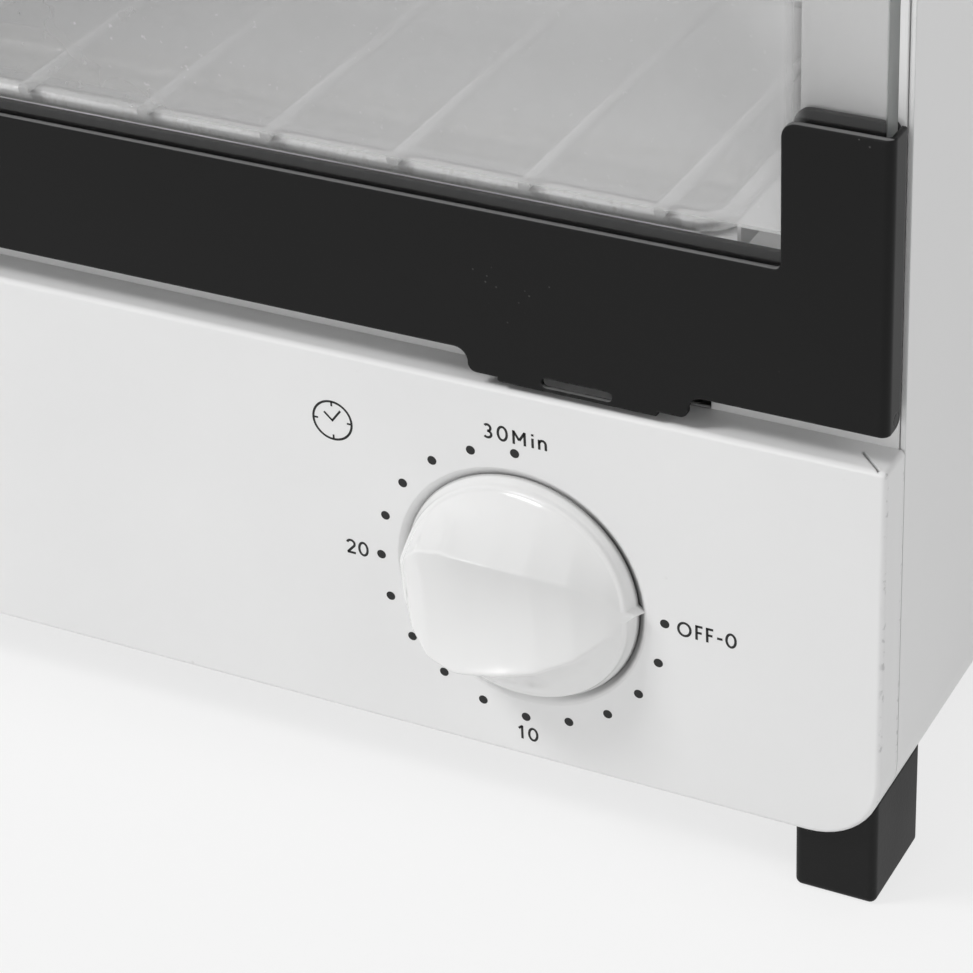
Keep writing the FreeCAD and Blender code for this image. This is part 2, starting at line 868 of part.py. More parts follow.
def fuse_clip():
    """A spring clip round the fuse, with two feet on the chamber's floor."""
    top = chamber_floor - thin_sheet
    z = fuse_z()
    half = fuse_clip_width / 2
    outer = fuse_radius + thin_sheet
    ring = rod_x(outer, fuse_x - half, fuse_x + half, thermostat_y, z)
    block_up = block(fuse_x - half, fuse_x + half, thermostat_y - outer, thermostat_y + outer, z, top)
    foot_half = outer + fuse_clip_foot
    foot = block(
        fuse_x - half, fuse_x + half, thermostat_y - foot_half, thermostat_y + foot_half,
        top - thin_sheet, top,
    )
    hollow = rod_x(fuse_radius, fuse_x - fuse_length, fuse_x + fuse_length, thermostat_y, z)
    slot = block(
        fuse_x - fuse_length, fuse_x + fuse_length, thermostat_y - fuse_radius, thermostat_y + fuse_radius,
        z, top - thin_sheet,
    )
    return ring.fuse([block_up, foot]).removeSplitter().cut(hollow).cut(slot)


# Door


def u_outline(inner_x, outer_x, z0, z_bar, z_arm):
    """Corner points of a bar with an arm standing up at each end."""
    return [
        (-outer_x, z0), (outer_x, z0), (outer_x, z_arm), (inner_x, z_arm), (inner_x, z_bar),
        (-inner_x, z_bar), (-inner_x, z_arm), (-outer_x, z_arm),
    ]


def folded_sides(shape, z0, z1):
    """Rounds a door bracket's outer upright corners and hollows it to the thickness of the sheet."""
    shape = rounded(
        shape, door_fold_radius,
        lambda p, t: along(t, Z_AXIS) and near(abs(p.x), half_width) and near(p.y, 0),
    )
    inside = block(
        -inner_half_width, inner_half_width, sheet, door_depth + overrun, z0 - overrun, z1 + overrun
    )
    inside = rounded(
        inside, door_fold_radius - sheet,
        lambda p, t: along(t, Z_AXIS) and near(abs(p.x), inner_half_width) and near(p.y, sheet),
    )
    return shape.cut(inside)


def lower_front_plate():
    """The black bracket at the foot of the door: bar, arms, folded sides for the hinge pins, stop tabs."""
    outside = panel_from(u_outline(arm_inner_x, half_width, door_bottom, bar_top, arm_top), 0, door_depth)
    outside = rounded(
        outside, arm_corner_radius,
        lambda p, t: along(t, Y_AXIS) and near(abs(p.x), arm_inner_x) and p.z > bar_top + sheet,
    )
    outside = rounded(
        outside, bar_corner_radius,
        lambda p, t: along(t, Y_AXIS) and near(abs(p.x), arm_inner_x) and near(p.z, bar_top),
    )
    plate = folded_sides(outside, door_bottom, arm_top)
    plate = rounded(
        plate, hinge_corner_radius,
        lambda p, t: along(t, X_AXIS) and near(p.y, door_depth) and near(p.z, door_bottom),
    )
    plate = rounded(plate, plate_edge_round, upper_front_edge)
    plate = plate.fuse([stop_tab(-1), stop_tab(1)]).removeSplitter()
    plate = rounded(
        plate, tab_root_radius,
        lambda p, t: along(t, Y_AXIS) and near(p.z, door_bottom) and near(tab_reach(p), tab_width / 2),
    )
    plate = plate.cut(rod_x(hinge_pin_radius, -half_width - overrun, half_width + overrun, hinge_y, hinge_z))
    for side in (-1, 1):
        x = side * tab_centre_x
        z = door_bottom - tab_drop + stop_slot_rise
        slot = block(
            x - stop_slot_width / 2, x + stop_slot_width / 2, -overrun, sheet + overrun,
            z - stop_slot_height / 2, z + stop_slot_height / 2,
        )
        slot = rounded(slot, stop_slot_height / 2 - sheet / 10, lambda p, t: along(t, Y_AXIS))
        plate = plate.cut(slot)
    return plate


def upper_front_edge(p, t):
    """Picks the front edges along the tops of the bar and of the arms, with the round corners between."""
    in_arm = abs(p.x) > arm_inner_x - bar_corner_radius - sheet
    on_bar_top = near(p.z, bar_top) and along(t, X_AXIS)
    on_arm = in_arm and p.z > bar_top - sheet / 10 and abs(p.x) < half_width - door_fold_radius + sheet / 10
    return near(p.y, 0) and (on_bar_top or on_arm)


def tab_reach(p):
    """How far a point is from the nearer tab's middle, along X."""
    return abs(abs(p.x) - tab_centre_x)


def stop_tab(side):
    """A tab that hangs from the bar, round at its lower corners, with a stop plate in its middle."""
    x = side * tab_centre_x
    z0 = door_bottom - tab_drop
    tab = block(x - tab_width / 2, x + tab_width / 2, 0, sheet, z0, door_bottom)
    tab = rounded(tab, tab_corner_radius, lambda p, t: along(t, Y_AXIS) and near(p.z, z0))
    stop = block(x - stop_width / 2, x + stop_width / 2, 0, sheet, z0 - stop_drop, z0 + sheet)
    stop = rounded(stop, stop_drop / 2, lambda p, t: along(t, Y_AXIS) and near(p.z, z0 - stop_drop))
    return tab.fuse(stop).removeSplitter()


def door_screw_places():
    """Where the screws of the lower bracket stand: two in the bar and one near each end."""
    z = door_bottom + bracket_screw_rise
    end_x = half_width - arm_width / 2 - spacer_radius
    return [(x, z) for x in (-end_x, -bracket_screw_x, bracket_screw_x, end_x)]


def lower_back_plate():
    """The plate behind the glass, with the same bar and arms."""
    outer_x = half_width - back_plate_inset
    plate = panel_from(
        u_outline(
            arm_inner_x + back_arm_margin, outer_x, door_bottom + back_plate_rise,
            bar_top + back_plate_rise, arm_top + back_plate_rise,
        ),
        back_plate_front, back_plate_front + sheet,
    )
    plate = rounded(
        plate, arm_corner_radius, lambda p, t: along(t, Y_AXIS) and p.z > bar_top + back_plate_rise + sheet
    )
    for x, z in door_screw_places():
        plate = plate.cut(rod_y(door_screw_radius + screw_clearance, 0, door_back + overrun, x, z))
    notch_x1 = half_width - hinge_lug_inset + hinge_notch_gap
    notch_x0 = half_width - hinge_lug_inset - hinge_lug_sheet - hinge_notch_gap
    notch_top = hinge_z - hinge_eye_radius + hinge_strap_height + hinge_notch_gap
    notch = block(notch_x0, notch_x1, 0, door_back + overrun, door_bottom - overrun, notch_top)
    for cutter in both_sides(notch):
        plate = plate.cut(cutter)
    return plate


def spacers():
    """Threaded bushes between the two plates of the lower bracket."""
    return [
        rod_y(spacer_radius, sheet, back_plate_front, x, z).cut(rod_y(door_screw_radius, 0, door_back, x, z))
        for x, z in door_screw_places()
    ]


def bracket_screws():
    y = door_back
    length = y - sheet - sheet
    return [
        screw_y(x, y, z, door_screw_radius, door_screw_head_radius, door_screw_head_height / 2, length, -1)
        for x, z in door_screw_places()
    ]


def upper_front_rail():
    """The black cap along the top of the door: a face with folded sides and top."""
    radius = corner_radius - door_top_margin
    outside = rounded_block(half_width, 0, door_depth, rail_bottom, door_top, 0, radius)
    outside = rounded(
        outside, fold_radius,
        lambda p, t: near(p.y, 0) and not (along(t, X_AXIS) and near(p.z, rail_bottom)),
    )
    inside = rounded_block(
        inner_half_width, sheet, door_depth + overrun, rail_bottom - overrun, door_top - sheet, 0,
        radius - sheet,
    )
    inside = rounded(
        inside, fold_radius - sheet,
        lambda p, t: near(p.y, sheet) and not (along(t, X_AXIS) and p.z < rail_bottom),
    )
    rail = outside.cut(inside)
    for x in handle_screw_xs():
        rail = rail.cut(rod_y(door_screw_radius + screw_clearance, -overrun, overrun, x, handle_z))
    return rail


def upper_back_rail():
    """The strip behind the glass under the cap."""
    half = half_width - back_plate_inset
    radius = corner_radius - door_top_margin - sheet - seam_gap
    high = door_top - sheet - seam_gap
    rail = rounded_block(half, back_plate_front, back_plate_front + sheet, rail_bottom, high, 0, radius)
    for x in handle_screw_xs():
        rail = rail.cut(rod_y(door_screw_radius + screw_clearance, 0, door_back + overrun, x, handle_z))
    return rail


def door_glass():
    """One sheet of toughened glass between the lower bracket and the cap."""
    half = half_width - glass_side_inset
    low = door_bottom + glass_bottom_rise
    high = door_top - glass_top_inset
    radius = corner_radius - door_top_margin - glass_side_inset
    pane = rounded_block(half, glass_front, glass_back, low, high, sheet, radius)
    for x in handle_screw_xs():
        pane = pane.cut(rod_y(door_screw_radius + body_gap, 0, door_back, x, handle_z))
    return pane


def glass_gaskets(low, high):
    """Two soft strips that hold the glass between a pair of plates."""
    half = half_width - door_fold_radius - arm_corner_radius
    front = block(-half, half, sheet, glass_front, low, high)
    back = block(-half, half, glass_back, back_plate_front, low, high)
    return [front, back]


def upper_gaskets():
    """The strips under the cap, with holes for the handle's screws."""
    low = rail_bottom + sheet
    strips = glass_gaskets(low, low + gasket_height + gasket_height / 2)
    holes = [rod_y(door_screw_radius + body_gap, 0, door_back, x, handle_z) for x in handle_screw_xs()]
    return [strip.cut(holes[0]).cut(holes[1]) for strip in strips]


def door_handle():
    """A moulded bow handle: a straight bar with a post at each end."""
    half = handle_width / 2
    z0 = handle_z - handle_height / 2
    z1 = handle_z + handle_height / 2
    outside = block(-half, half, -handle_reach, 0, z0, z1)
    outside = rounded(
        outside, handle_bend_radius, lambda p, t: along(t, Z_AXIS) and near(p.y, -handle_reach)
    )
    inner_half = half - handle_post_width
    bar_back = -handle_reach + handle_bar_depth
    inner = block(-inner_half, inner_half, bar_back, overrun, z0 - overrun, z1 + overrun)
    inner = rounded(
        inner, handle_bend_radius / 2,
        lambda p, t: along(t, Z_AXIS) and near(p.y, -handle_reach + handle_bar_depth),
    )
    handle = outside.cut(inner)
    handle = rounded(
        handle, handle_round,
        lambda p, t: (near(p.z, z0) or near(p.z, z1)) and p.y < -handle_round and not near(p.y, 0),
    )
    for x in handle_screw_xs():
        handle = handle.cut(rod_y(door_screw_radius, -handle_screw_depth, overrun, x, handle_z))
    return handle


def handle_screw_xs():
    x = handle_width / 2 - handle_post_width / 2
    return (-x, x)


def handle_screws():
    y = door_back
    length = y + handle_screw_depth - sheet
    head = door_screw_head_height / 2
    return [
        screw_y(x, y, handle_z, door_screw_radius, door_screw_head_radius, head, length, -1)
        for x in handle_screw_xs()
    ]


def hinge_pins():
    """Two short pins, each fast in the door's folded side and free in the frame's lug."""
    tail = half_width - hinge_lug_inset - hinge_lug_sheet - hinge_pin_tail
    return both_sides(rod_x(hinge_pin_radius, tail, half_width, hinge_y, hinge_z))


# Timer, knob and lamp


def timer_screw_xs():
    return (dial_x - timer_screw_offset, dial_x + timer_screw_offset)


def timer_front():
    return dish_depth + sheet


def timer_case():
    """The timer's housing: a square box, open behind, with a bush round its shaft."""
    half = timer_width / 2
    y0 = timer_front()
    y1 = y0 + timer_case_depth
    case = block(dial_x - half, dial_x + half, y0, y1, dial_z - half, dial_z + half)
    inner = half - timer_wall
    case = case.cut(
        block(dial_x - inner, dial_x + inner, y0 + timer_wall, y1 + overrun, dial_z - inner, dial_z + inner)
    )
    bush = rod_y(timer_bush_radius, y0 - dish_depth / 2, y0 + timer_wall + timer_bush_length, dial_x, dial_z)
    case = case.fuse(bush).removeSplitter()
    case = case.cut(rod_y(timer_shaft_radius + pin_clearance, -overrun, y1, dial_x, dial_z))
    for x in timer_screw_xs():
        case = case.cut(rod_y(timer_screw_radius, -overrun, y0 + timer_wall, x, dial_z))
    return case


def timer_back():
    return timer_front() + timer_case_depth


def timer_cover():
    """The plate that closes the timer, with a bearing hole for the shaft."""
    half = timer_width / 2
    y0 = timer_back()
    plate = block(dial_x - half, dial_x + half, y0, y0 + timer_cover_sheet, dial_z - half, dial_z + half)
    plate = plate.cut(rod_y(timer_shaft_radius / 2 + pin_clearance, 0, body_depth, dial_x, dial_z))
    return plate


def timer_contacts():
    """Two flat blades that stand out of the timer's side for its leads."""
    blades = []
    x0 = dial_x - timer_width / 2
    for z in (dial_z - contact_width, dial_z + contact_width):
        y = timer_back() - timer_wall - contact_width
        half = contact_width / 2
        low = z - thin_sheet / 2
        blades.append(block(x0 - contact_length, x0, y - half, y + half, low, low + thin_sheet))
    return blades


def timer_shaft():
    """The flatted shaft that carries the knob and the cam, with a thin journal behind."""
    y_back = timer_back() + timer_cover_sheet
    y_front = knob_back_y() - knob_bore_depth + body_gap
    shaft = rod_y(timer_shaft_radius, y_front, timer_back() - timer_wall, dial_x, dial_z)
    journal = rod_y(timer_shaft_radius / 2, timer_back() - timer_wall, y_back, dial_x, dial_z)
    shaft = shaft.fuse(journal).removeSplitter()
    return shaft.cut(shaft_flat(y_front - overrun, knob_back_y() - sheet))


def shaft_flat(y0, y1):
    """The part of the shaft that its flat leaves out."""
    size = timer_shaft_radius * 2
    flat_z = dial_z + timer_shaft_radius * shaft_flat_share
    flat = block(dial_x - size, dial_x + size, y0, y1, flat_z, dial_z + size)
    flat.rotate(FreeCAD.Vector(dial_x, 0, dial_z), Y_AXIS, -knob_tilt)
    return flat


def timer_cam():
    """The notched disc that works the timer's switch."""
    y0 = timer_front() + timer_wall + timer_bush_length + cam_inset
    cam = rod_y(cam_radius, y0, y0 + cam_thickness, dial_x, dial_z)
    y1 = y0 + cam_thickness + overrun
    cam = cam.cut(rod_y(cam_notch_radius, y0 - overrun, y1, dial_x, dial_z + cam_radius))
    return cam.cut(rod_y(timer_shaft_radius, y0 - overrun, y1, dial_x, dial_z))


def timer_bell():
    """The pressed bell behind the timer."""
    y0 = timer_back() + timer_cover_sheet + bell_gap
    y1 = y0 + bell_depth
    points = (
        (bell_radius, y0),
        (bell_radius, y1 - bell_depth / 2),
        (bell_radius * bell_shoulder_share, y1),
        (bell_post_radius, y1),
        (bell_post_radius, y1 - bell_wall),
        (bell_radius * bell_shoulder_share - bell_wall / 2, y1 - bell_wall),
        (bell_radius - bell_wall, y1 - bell_depth / 2 - bell_wall / 2),
        (bell_radius - bell_wall, y0),
    )
    return turned(points, dial_x, dial_z)


def bell_post():
    """The screw post that holds the bell off the timer's cover."""
    y0 = timer_back() + timer_cover_sheet
    y1 = y0 + bell_gap + bell_depth
    post = rod_y(bell_post_radius, y0, y1, dial_x, dial_z)
    head = rod_y(bell_post_radius * 2, y1, y1 + bell_wall, dial_x, dial_z)
    return post.fuse(head).removeSplitter().cut(
        rod_y(timer_shaft_radius / 2 + pin_clearance, 0, y0 + bell_gap / 2, dial_x, dial_z)
    )


def timer_screws():
    return [
        screw_y(
            x, dish_depth, dial_z, timer_screw_radius, timer_screw_head_radius, timer_screw_head_height,
            timer_wall + sheet, 1,
        )
        for x in timer_screw_xs()
    ]


def knob_back_y():
    """The knob's rear face stands a little in front of the dish's floor."""
    return dish_depth - knob_back_gap


def grip_section(station, reach, edge, crown):
    """One cross section of the grip: a flat foot, two sloped sides and an arched top."""
    x = station * knob_radius
    top = knob_height * crown
    side = knob_height * edge
    half = reach * knob_radius
    rim = knob_radius * knob_radius - x * x
    foot = max(math.sqrt(rim) if rim > 0 else 0, half * (1 + sheet / 10))
    low = knob_rim_height - sheet
    a = FreeCAD.Vector(x, -low, -foot)
    b = FreeCAD.Vector(x, -side, -half)
    c = FreeCAD.Vector(x, -top, 0)
    d = FreeCAD.Vector(x, -side, half)
    e = FreeCAD.Vector(x, -low, foot)
    return Part.Wire(
        [
            Part.LineSegment(a, b).toShape(),
            Part.Arc(b, c, d).toShape(),
            Part.LineSegment(d, e).toShape(),
            Part.LineSegment(e, a).toShape(),
        ]
    )


def timer_knob():
    """The moulded knob: a round plate with a full, pointed grip across it, hollow behind round its hub."""
    back = knob_back_y()
    plate = turned(
        ((0, back), (knob_back_radius, back), (knob_radius, -knob_rim_height), (0, -knob_rim_height)), 0, 0
    )
    grip = Part.makeLoft([grip_section(*shares) for shares in grip_sections_shares], True, False)
    knob = plate.fuse(grip).removeSplitter()
    knob.rotate(ORIGIN, Y_AXIS, -knob_tilt)
    knob.translate(FreeCAD.Vector(dial_x, 0, dial_z))
    hollow = rod_y(knob_hollow_radius, back - knob_hollow_depth, back + overrun, dial_x, dial_z)
    hub = rod_y(knob_hub_radius, back - knob_hollow_depth - overrun, back + overrun + overrun, dial_x, dial_z)
    knob = knob.cut(hollow.cut(hub))
    bore = rod_y(timer_shaft_radius, back - knob_bore_depth, back + overrun, dial_x, dial_z)
    return knob.cut(bore.cut(shaft_flat(back - knob_bore_depth - overrun, back - sheet)))


def lamp_lens():
    """The red lens of the indicator lamp, with its stem through the panel."""
    bezel = rod_y(lamp_bezel_radius, -lamp_bezel_height, 0, lamp_x, dial_z)
    outline = [(0, -lamp_bezel_height), (lamp_radius, -lamp_bezel_height)]
    for width_share, height_share in lamp_dome_shares:
        outline.append((lamp_radius * width_share, -lamp_bezel_height - lamp_lens_height * height_share))
    outline.append((0, outline[-1][1]))
    dome = turned(outline, lamp_x, dial_z)
    stem = rod_y(lamp_radius, 0, sheet + lamp_clip_thickness, lamp_x, dial_z)
    return bezel.fuse([dome, stem]).removeSplitter()


def lamp_body():
    """The lamp's rear housing."""
    y0 = sheet + lamp_clip_thickness
    return rod_y(lamp_bezel_radius - seam_gap, y0, y0 + lamp_body_length, lamp_x, dial_z)


def lamp_clip():
    """The square push-on clip behind the panel."""
    half = lamp_clip_width / 2
    plate = block(
        lamp_x - half, lamp_x + half, sheet, sheet + lamp_clip_thickness, dial_z - half, dial_z + half
    )
    return plate.cut(rod_y(lamp_radius, 0, body_depth, lamp_x, dial_z))


# Feet


def foot(side, front):
    """A moulded foot whose top is hollowed to the cabinet's round corner."""
    x1 = half_width - foot_side_inset
    x0 = x1 - foot_width
    y0 = foot_front_inset if front else body_depth - foot_rear_inset - foot_length
    y1 = y0 + foot_length
    top = body_bottom + corner_radius
    shape = block(x0, x1, y0, y1, 0, top)
    shape = rounded(shape, foot_round, lambda p, t: along(t, Z_AXIS) or near(p.z, 0))
    body = rounded_block(
        half_width, -overrun, body_depth + overrun, body_bottom, body_top, corner_radius, corner_radius
    )
    shape = shape.cut(body)
    screw_x = half_width - foot_screw_x_inset
    screw_y_place = [y for x, y in foot_screw_places() if y0 < y < y1][0]
    hole_low = body_bottom - foot_screw_depth
    hole = rod_z(foot_screw_radius, hole_low, body_bottom + overrun, screw_x, screw_y_place)
    shape = shape.cut(hole)
    return shape if side > 0 else mirrored(shape)


def foot_screws():
    z = body_bottom + sheet + foot_screw_seat
    length = foot_screw_depth - sheet
    return [
        screw_z(x, y, z, foot_screw_radius, foot_screw_head_radius, foot_screw_head_height, length, -1)
        for x, y in foot_screw_places()
    ]


# Electrical fittings


def gland_z():
    return body_bottom + gland_rise


def cord_gland():
    """The bush in the back panel that a cord would pass through."""
    outer = rod_y(gland_flange_radius, body_depth, body_depth + gland_flange, gland_x, gland_z())
    nose = rod_y(gland_radius, body_depth - gland_tail, body_depth + gland_reach, gland_x, gland_z())
    bush = outer.fuse(nose).removeSplitter()
    bore = rod_y(gland_bore_radius, 0, body_depth + gland_reach + overrun, gland_x, gland_z())
    return bush.cut(bore)


def gland_nut():
    """The six-sided nut inside the back panel."""
    y1 = body_depth - sheet
    points = [
        (
            gland_x + gland_nut_radius * math.cos(2 * math.pi * i / nut_sides),
            gland_z() + gland_nut_radius * math.sin(2 * math.pi * i / nut_sides),
        )
        for i in range(nut_sides)
    ]
    nut = panel_from(points, y1 - gland_nut_thickness, y1)
    return nut.cut(rod_y(gland_radius, 0, body_depth, gland_x, gland_z()))


def terminal_block():
    """The moulded block on the base plate where the leads meet."""
    x0 = block_x - block_width / 2
    y0 = block_y - block_depth / 2
    body = block(x0, x0 + block_width, y0, y0 + block_depth, base_top, base_top + block_height)
    body = rounded(body, sheet, lambda p, t: along(t, Z_AXIS))
    pitch = block_width / block_ways
    z = base_top + block_height / 2
    for i in range(block_ways):
        x = x0 + pitch * (i + 0.5)
        body = body.cut(rod_y(block_way_radius, y0 - overrun, y0 + block_depth + overrun, x, z))
        body = body.cut(rod_z(block_way_radius, z, base_top + block_height + overrun, x, block_y))
    return body


def way_x(i):
    return block_x - block_width / 2 + block_width / block_ways * (i + 0.5)


def earth_stud():
    """The earthing screw that stands in the base plate, with its nut."""
    stud = rod_z(stud_radius, body_bottom + sheet, base_top + stud_height, stud_x, block_y)
    nut = rod_z(stud_nut_radius, base_top, base_top + stud_nut_thickness, stud_x, block_y)
    return stud.fuse(nut).removeSplitter()


def leads():
    """Insulated wires between the block, the timer, the thermostat and the fuse."""
    z = base_top + block_height / 2
    front = block_y - block_depth / 2
    drop = lead_bend_radius + lead_radius
    lane = front - block_depth
    timer_x = dial_x - timer_width / 2 - contact_length
    timer_y = timer_back() - timer_wall - contact_width
    blade_low = chamber_floor - thin_sheet - thermostat_height - contact_length
    blade_x = thermostat_x - thermostat_radius / 2
    fuse_end = fuse_x - fuse_length / 2 - contact_length
    to_timer = bent_rod(
        (
            (way_x(2), front + sheet, z),
            (way_x(2), timer_y, z),
            (timer_x - drop - drop, timer_y, dial_z - contact_width),
            (timer_x, timer_y, dial_z - contact_width),
        ),
        lead_radius, lead_bend_radius,
    )
    to_thermostat = bent_rod(
        (
            (timer_x, timer_y, dial_z + contact_width),
            (timer_x - drop - drop, timer_y, dial_z + contact_width),
            (blade_x, thermostat_y, dial_z + contact_width + drop),
            (blade_x, thermostat_y, blade_low),
        ),
        lead_radius, lead_bend_radius / 2,
    )
    to_fuse = bent_rod(
        (
            (way_x(1), front + sheet, z),
            (way_x(1), lane, z),
            (fuse_end - drop - drop, thermostat_y, fuse_z()),
            (fuse_end, thermostat_y, fuse_z()),
        ),
        lead_radius, lead_bend_radius / 2,
    )
    return [to_timer, to_thermostat, to_fuse]


def build():
    os.makedirs("parts", exist_ok=True)
    save("outer_shell", outer_shell())
    save("base_plate", base_plate())
    save("base_screws", *base_screws())
    save("back_panel", back_panel())
    save("back_panel_screws", *back_screws())
    save("front_panel", front_panel())
    save("front_frame", front_frame())
    save("chamber_wrap", chamber_wrap())
    right_wall = chamber_side()
    save("chamber_wall_right", right_wall)
    save("chamber_wall_left", mirrored(right_wall))
    rail = rack_rail()
    save("rack_rail_right", rail)
    save("rack_rail_left", mirrored(rail))
    save("wire_rack", wire_rack())
    save("lower_heater", heater_tube(lower_heater_z))
    save("upper_heater", heater_tube(upper_heater_z))
    bushes = both_sides(insulator(lower_heater_z)) + both_sides(insulator(upper_heater_z))
    save("heater_insulators", *bushes)
    save("insulation_blanket", insulation_blanket())
    save("thermostat", thermostat())
    save("thermal_fuse", thermal_fuse())
    save("fuse_clip", fuse_clip())
    save("door_lower_front_plate", lower_front_plate())
    save("door_lower_back_plate", lower_back_plate())
    save("door_spacers", *spacers())
    save("door_bracket_screws", *bracket_screws())
    save("door_upper_front_rail", upper_front_rail())
    save("door_upper_back_rail", upper_back_rail())
    save("door_glass", door_glass())
    gasket_low = door_bottom + glass_bottom_rise + sheet
    save("door_lower_gaskets", *glass_gaskets(gasket_low, gasket_low + gasket_height))
    save("door_upper_gaskets", *upper_gaskets())
    save("door_handle", door_handle())
    save("handle_screws", *handle_screws())
    save("hinge_pins", *hinge_pins())
    save("timer_case", timer_case())
    save("timer_cover", timer_cover())
    save("timer_contacts", *timer_contacts())
    save("timer_shaft", timer_shaft())
    save("timer_cam", timer_cam())
    save("timer_bell", timer_bell())
    save("bell_post", bell_post())
    save("timer_screws", *timer_screws())
    save("timer_knob", timer_knob())
    save("lamp_lens", lamp_lens())
    save("lamp_body", lamp_body())
    save("lamp_clip", lamp_clip())
    for front, row in ((True, "front"), (False, "rear")):
        for side, hand in ((-1, "left"), (1, "right")):
            save("foot_" + row + "_" + hand, foot(side, front))
    save("foot_screws", *foot_screws())
    save("cord_gland", cord_gland())
    save("gland_nut", gland_nut())
    save("terminal_block", terminal_block())
    save("earth_stud", earth_stud())
    save("internal_leads", *leads())


build()
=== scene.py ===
import json
import math

import bmesh
import bpy
import numpy as np
from mathutils import Matrix, Vector


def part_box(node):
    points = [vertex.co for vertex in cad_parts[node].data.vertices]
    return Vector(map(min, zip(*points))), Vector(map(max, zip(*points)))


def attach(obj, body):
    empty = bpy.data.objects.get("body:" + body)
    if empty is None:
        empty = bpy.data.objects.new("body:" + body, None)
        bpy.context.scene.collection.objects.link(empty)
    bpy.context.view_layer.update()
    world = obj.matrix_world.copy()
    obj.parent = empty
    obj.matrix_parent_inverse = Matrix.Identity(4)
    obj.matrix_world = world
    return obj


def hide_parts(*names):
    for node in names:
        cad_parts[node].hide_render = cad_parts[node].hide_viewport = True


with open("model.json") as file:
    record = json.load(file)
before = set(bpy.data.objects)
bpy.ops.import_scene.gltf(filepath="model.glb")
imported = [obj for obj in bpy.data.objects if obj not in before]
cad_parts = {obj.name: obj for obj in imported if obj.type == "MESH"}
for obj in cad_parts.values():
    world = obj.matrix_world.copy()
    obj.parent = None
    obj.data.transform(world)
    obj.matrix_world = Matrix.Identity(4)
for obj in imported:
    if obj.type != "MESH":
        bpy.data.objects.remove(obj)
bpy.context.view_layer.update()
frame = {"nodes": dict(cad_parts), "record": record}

MM = 0.001

# Where the panel's face and the dial's centre are, in metres.
PANEL_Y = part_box("front_panel")[0].y
DIAL_X = 68 * MM
DIAL_Z = 46 * MM

# Lines on the front that marks and films follow, in metres: the cabinet's side, the fold and the seam behind
# the panel's face, the dish's edge, the opening's and the pane's side edges, and the film's lower end.
SIDE_X = 129.0 * MM
FOLD_IN = 0.6 * MM
SEAM_IN = 7.0 * MM
DISH_R = 23.0 * MM
OPENING_X = 112.5 * MM
PANE_X = 127.5 * MM
FILM_Z = 117.2 * MM


# ---- camera ----

# Focal length and film width in millimetres, the place in metres, and the picture's three directions.
FOCAL = 128.27
FILM_WIDTH = 36.0
CAMERA_AT = (0.28101, -0.45515, 0.35023)
PICTURE_RIGHT = (0.89078668, 0.45250013, -0.04174598)
PICTURE_UP = (-0.2086905, 0.48896428, 0.84697238)
PICTURE_BACK = (0.40366741, -0.74575972, 0.52999535)


def place_camera():
    """The photograph's view, as solved from its straight lines."""
    lens = bpy.data.cameras.new("view")
    lens.sensor_width = FILM_WIDTH
    lens.lens = FOCAL
    lens.clip_start = 0.01
    lens.clip_end = 50.0
    camera = bpy.data.objects.new("view", lens)
    bpy.context.scene.collection.objects.link(camera)
    turn = Matrix((PICTURE_RIGHT, PICTURE_UP, PICTURE_BACK)).transposed()
    camera.matrix_world = Matrix.Translation(CAMERA_AT) @ turn.to_4x4()
    bpy.context.scene.camera = camera


# ---- small helpers for nodes ----

def add(tree, kind, settings=None, **inputs):
    """A node of one kind: settings are its properties, the rest are its sockets' plain values."""
    made = tree.nodes.new(kind)
    for name, value in (settings or {}).items():
        setattr(made, name, value)
    for name, value in inputs.items():
        made.inputs[name.replace("_", " ")].default_value = value
    return made


def maths(tree, operation, first, second=None):
    """One step of arithmetic; each side is a number or a socket."""
    made = tree.nodes.new("ShaderNodeMath")
    made.operation = operation
    for place, value in enumerate((first, second)):
        if value is None:
            continue
        if isinstance(value, (int, float)):
            made.inputs[place].default_value = value
        else:
            tree.links.new(value, made.inputs[place])
    return made.outputs[0]


def spread(tree, value, low, high, to_low=0.0, to_high=1.0):
    """Carries a value from one range to another and holds it there."""
    made = add(tree, "ShaderNodeMapRange", {"clamp": True})
    for place, number in (("From Min", low), ("From Max", high), ("To Min", to_low), ("To Max", to_high)):
        made.inputs[place].default_value = number
    tree.links.new(value, made.inputs["Value"])
    return made.outputs["Result"]


def blended(tree, amount, first, second):
    """Two colours mixed by an amount; each is a colour or a socket."""
    made = add(tree, "ShaderNodeMix", {"data_type": "RGBA", "clamp_factor": True})
    for place, value in ((0, amount), (6, first), (7, second)):
        if isinstance(value, (int, float)):
            made.inputs[place].default_value = value
        elif isinstance(value, tuple):
            made.inputs[place].default_value = (*value, 1.0)[:4]
        else:
            tree.links.new(value, made.inputs[place])
    return made.outputs[2]


def own_place(tree):
    """The piece's own coordinates, in metres."""
    return add(tree, "ShaderNodeTexCoord").outputs["Object"]


def noise(tree, place, scale, detail=2.0, rough=0.5, stretch=None):
    """A soft random value; the scale is in patches per metre, and stretch makes it longer on an axis."""
    if stretch is not None:
        turn = add(tree, "ShaderNodeMapping")
        turn.inputs["Scale"].default_value = stretch
        tree.links.new(place, turn.inputs["Vector"])
        place = turn.outputs["Vector"]
    made = add(tree, "ShaderNodeTexNoise", Scale=scale, Detail=detail, Roughness=rough)
    tree.links.new(place, made.inputs["Vector"])
    return made.outputs["Fac"]


# ---- shared effects ----

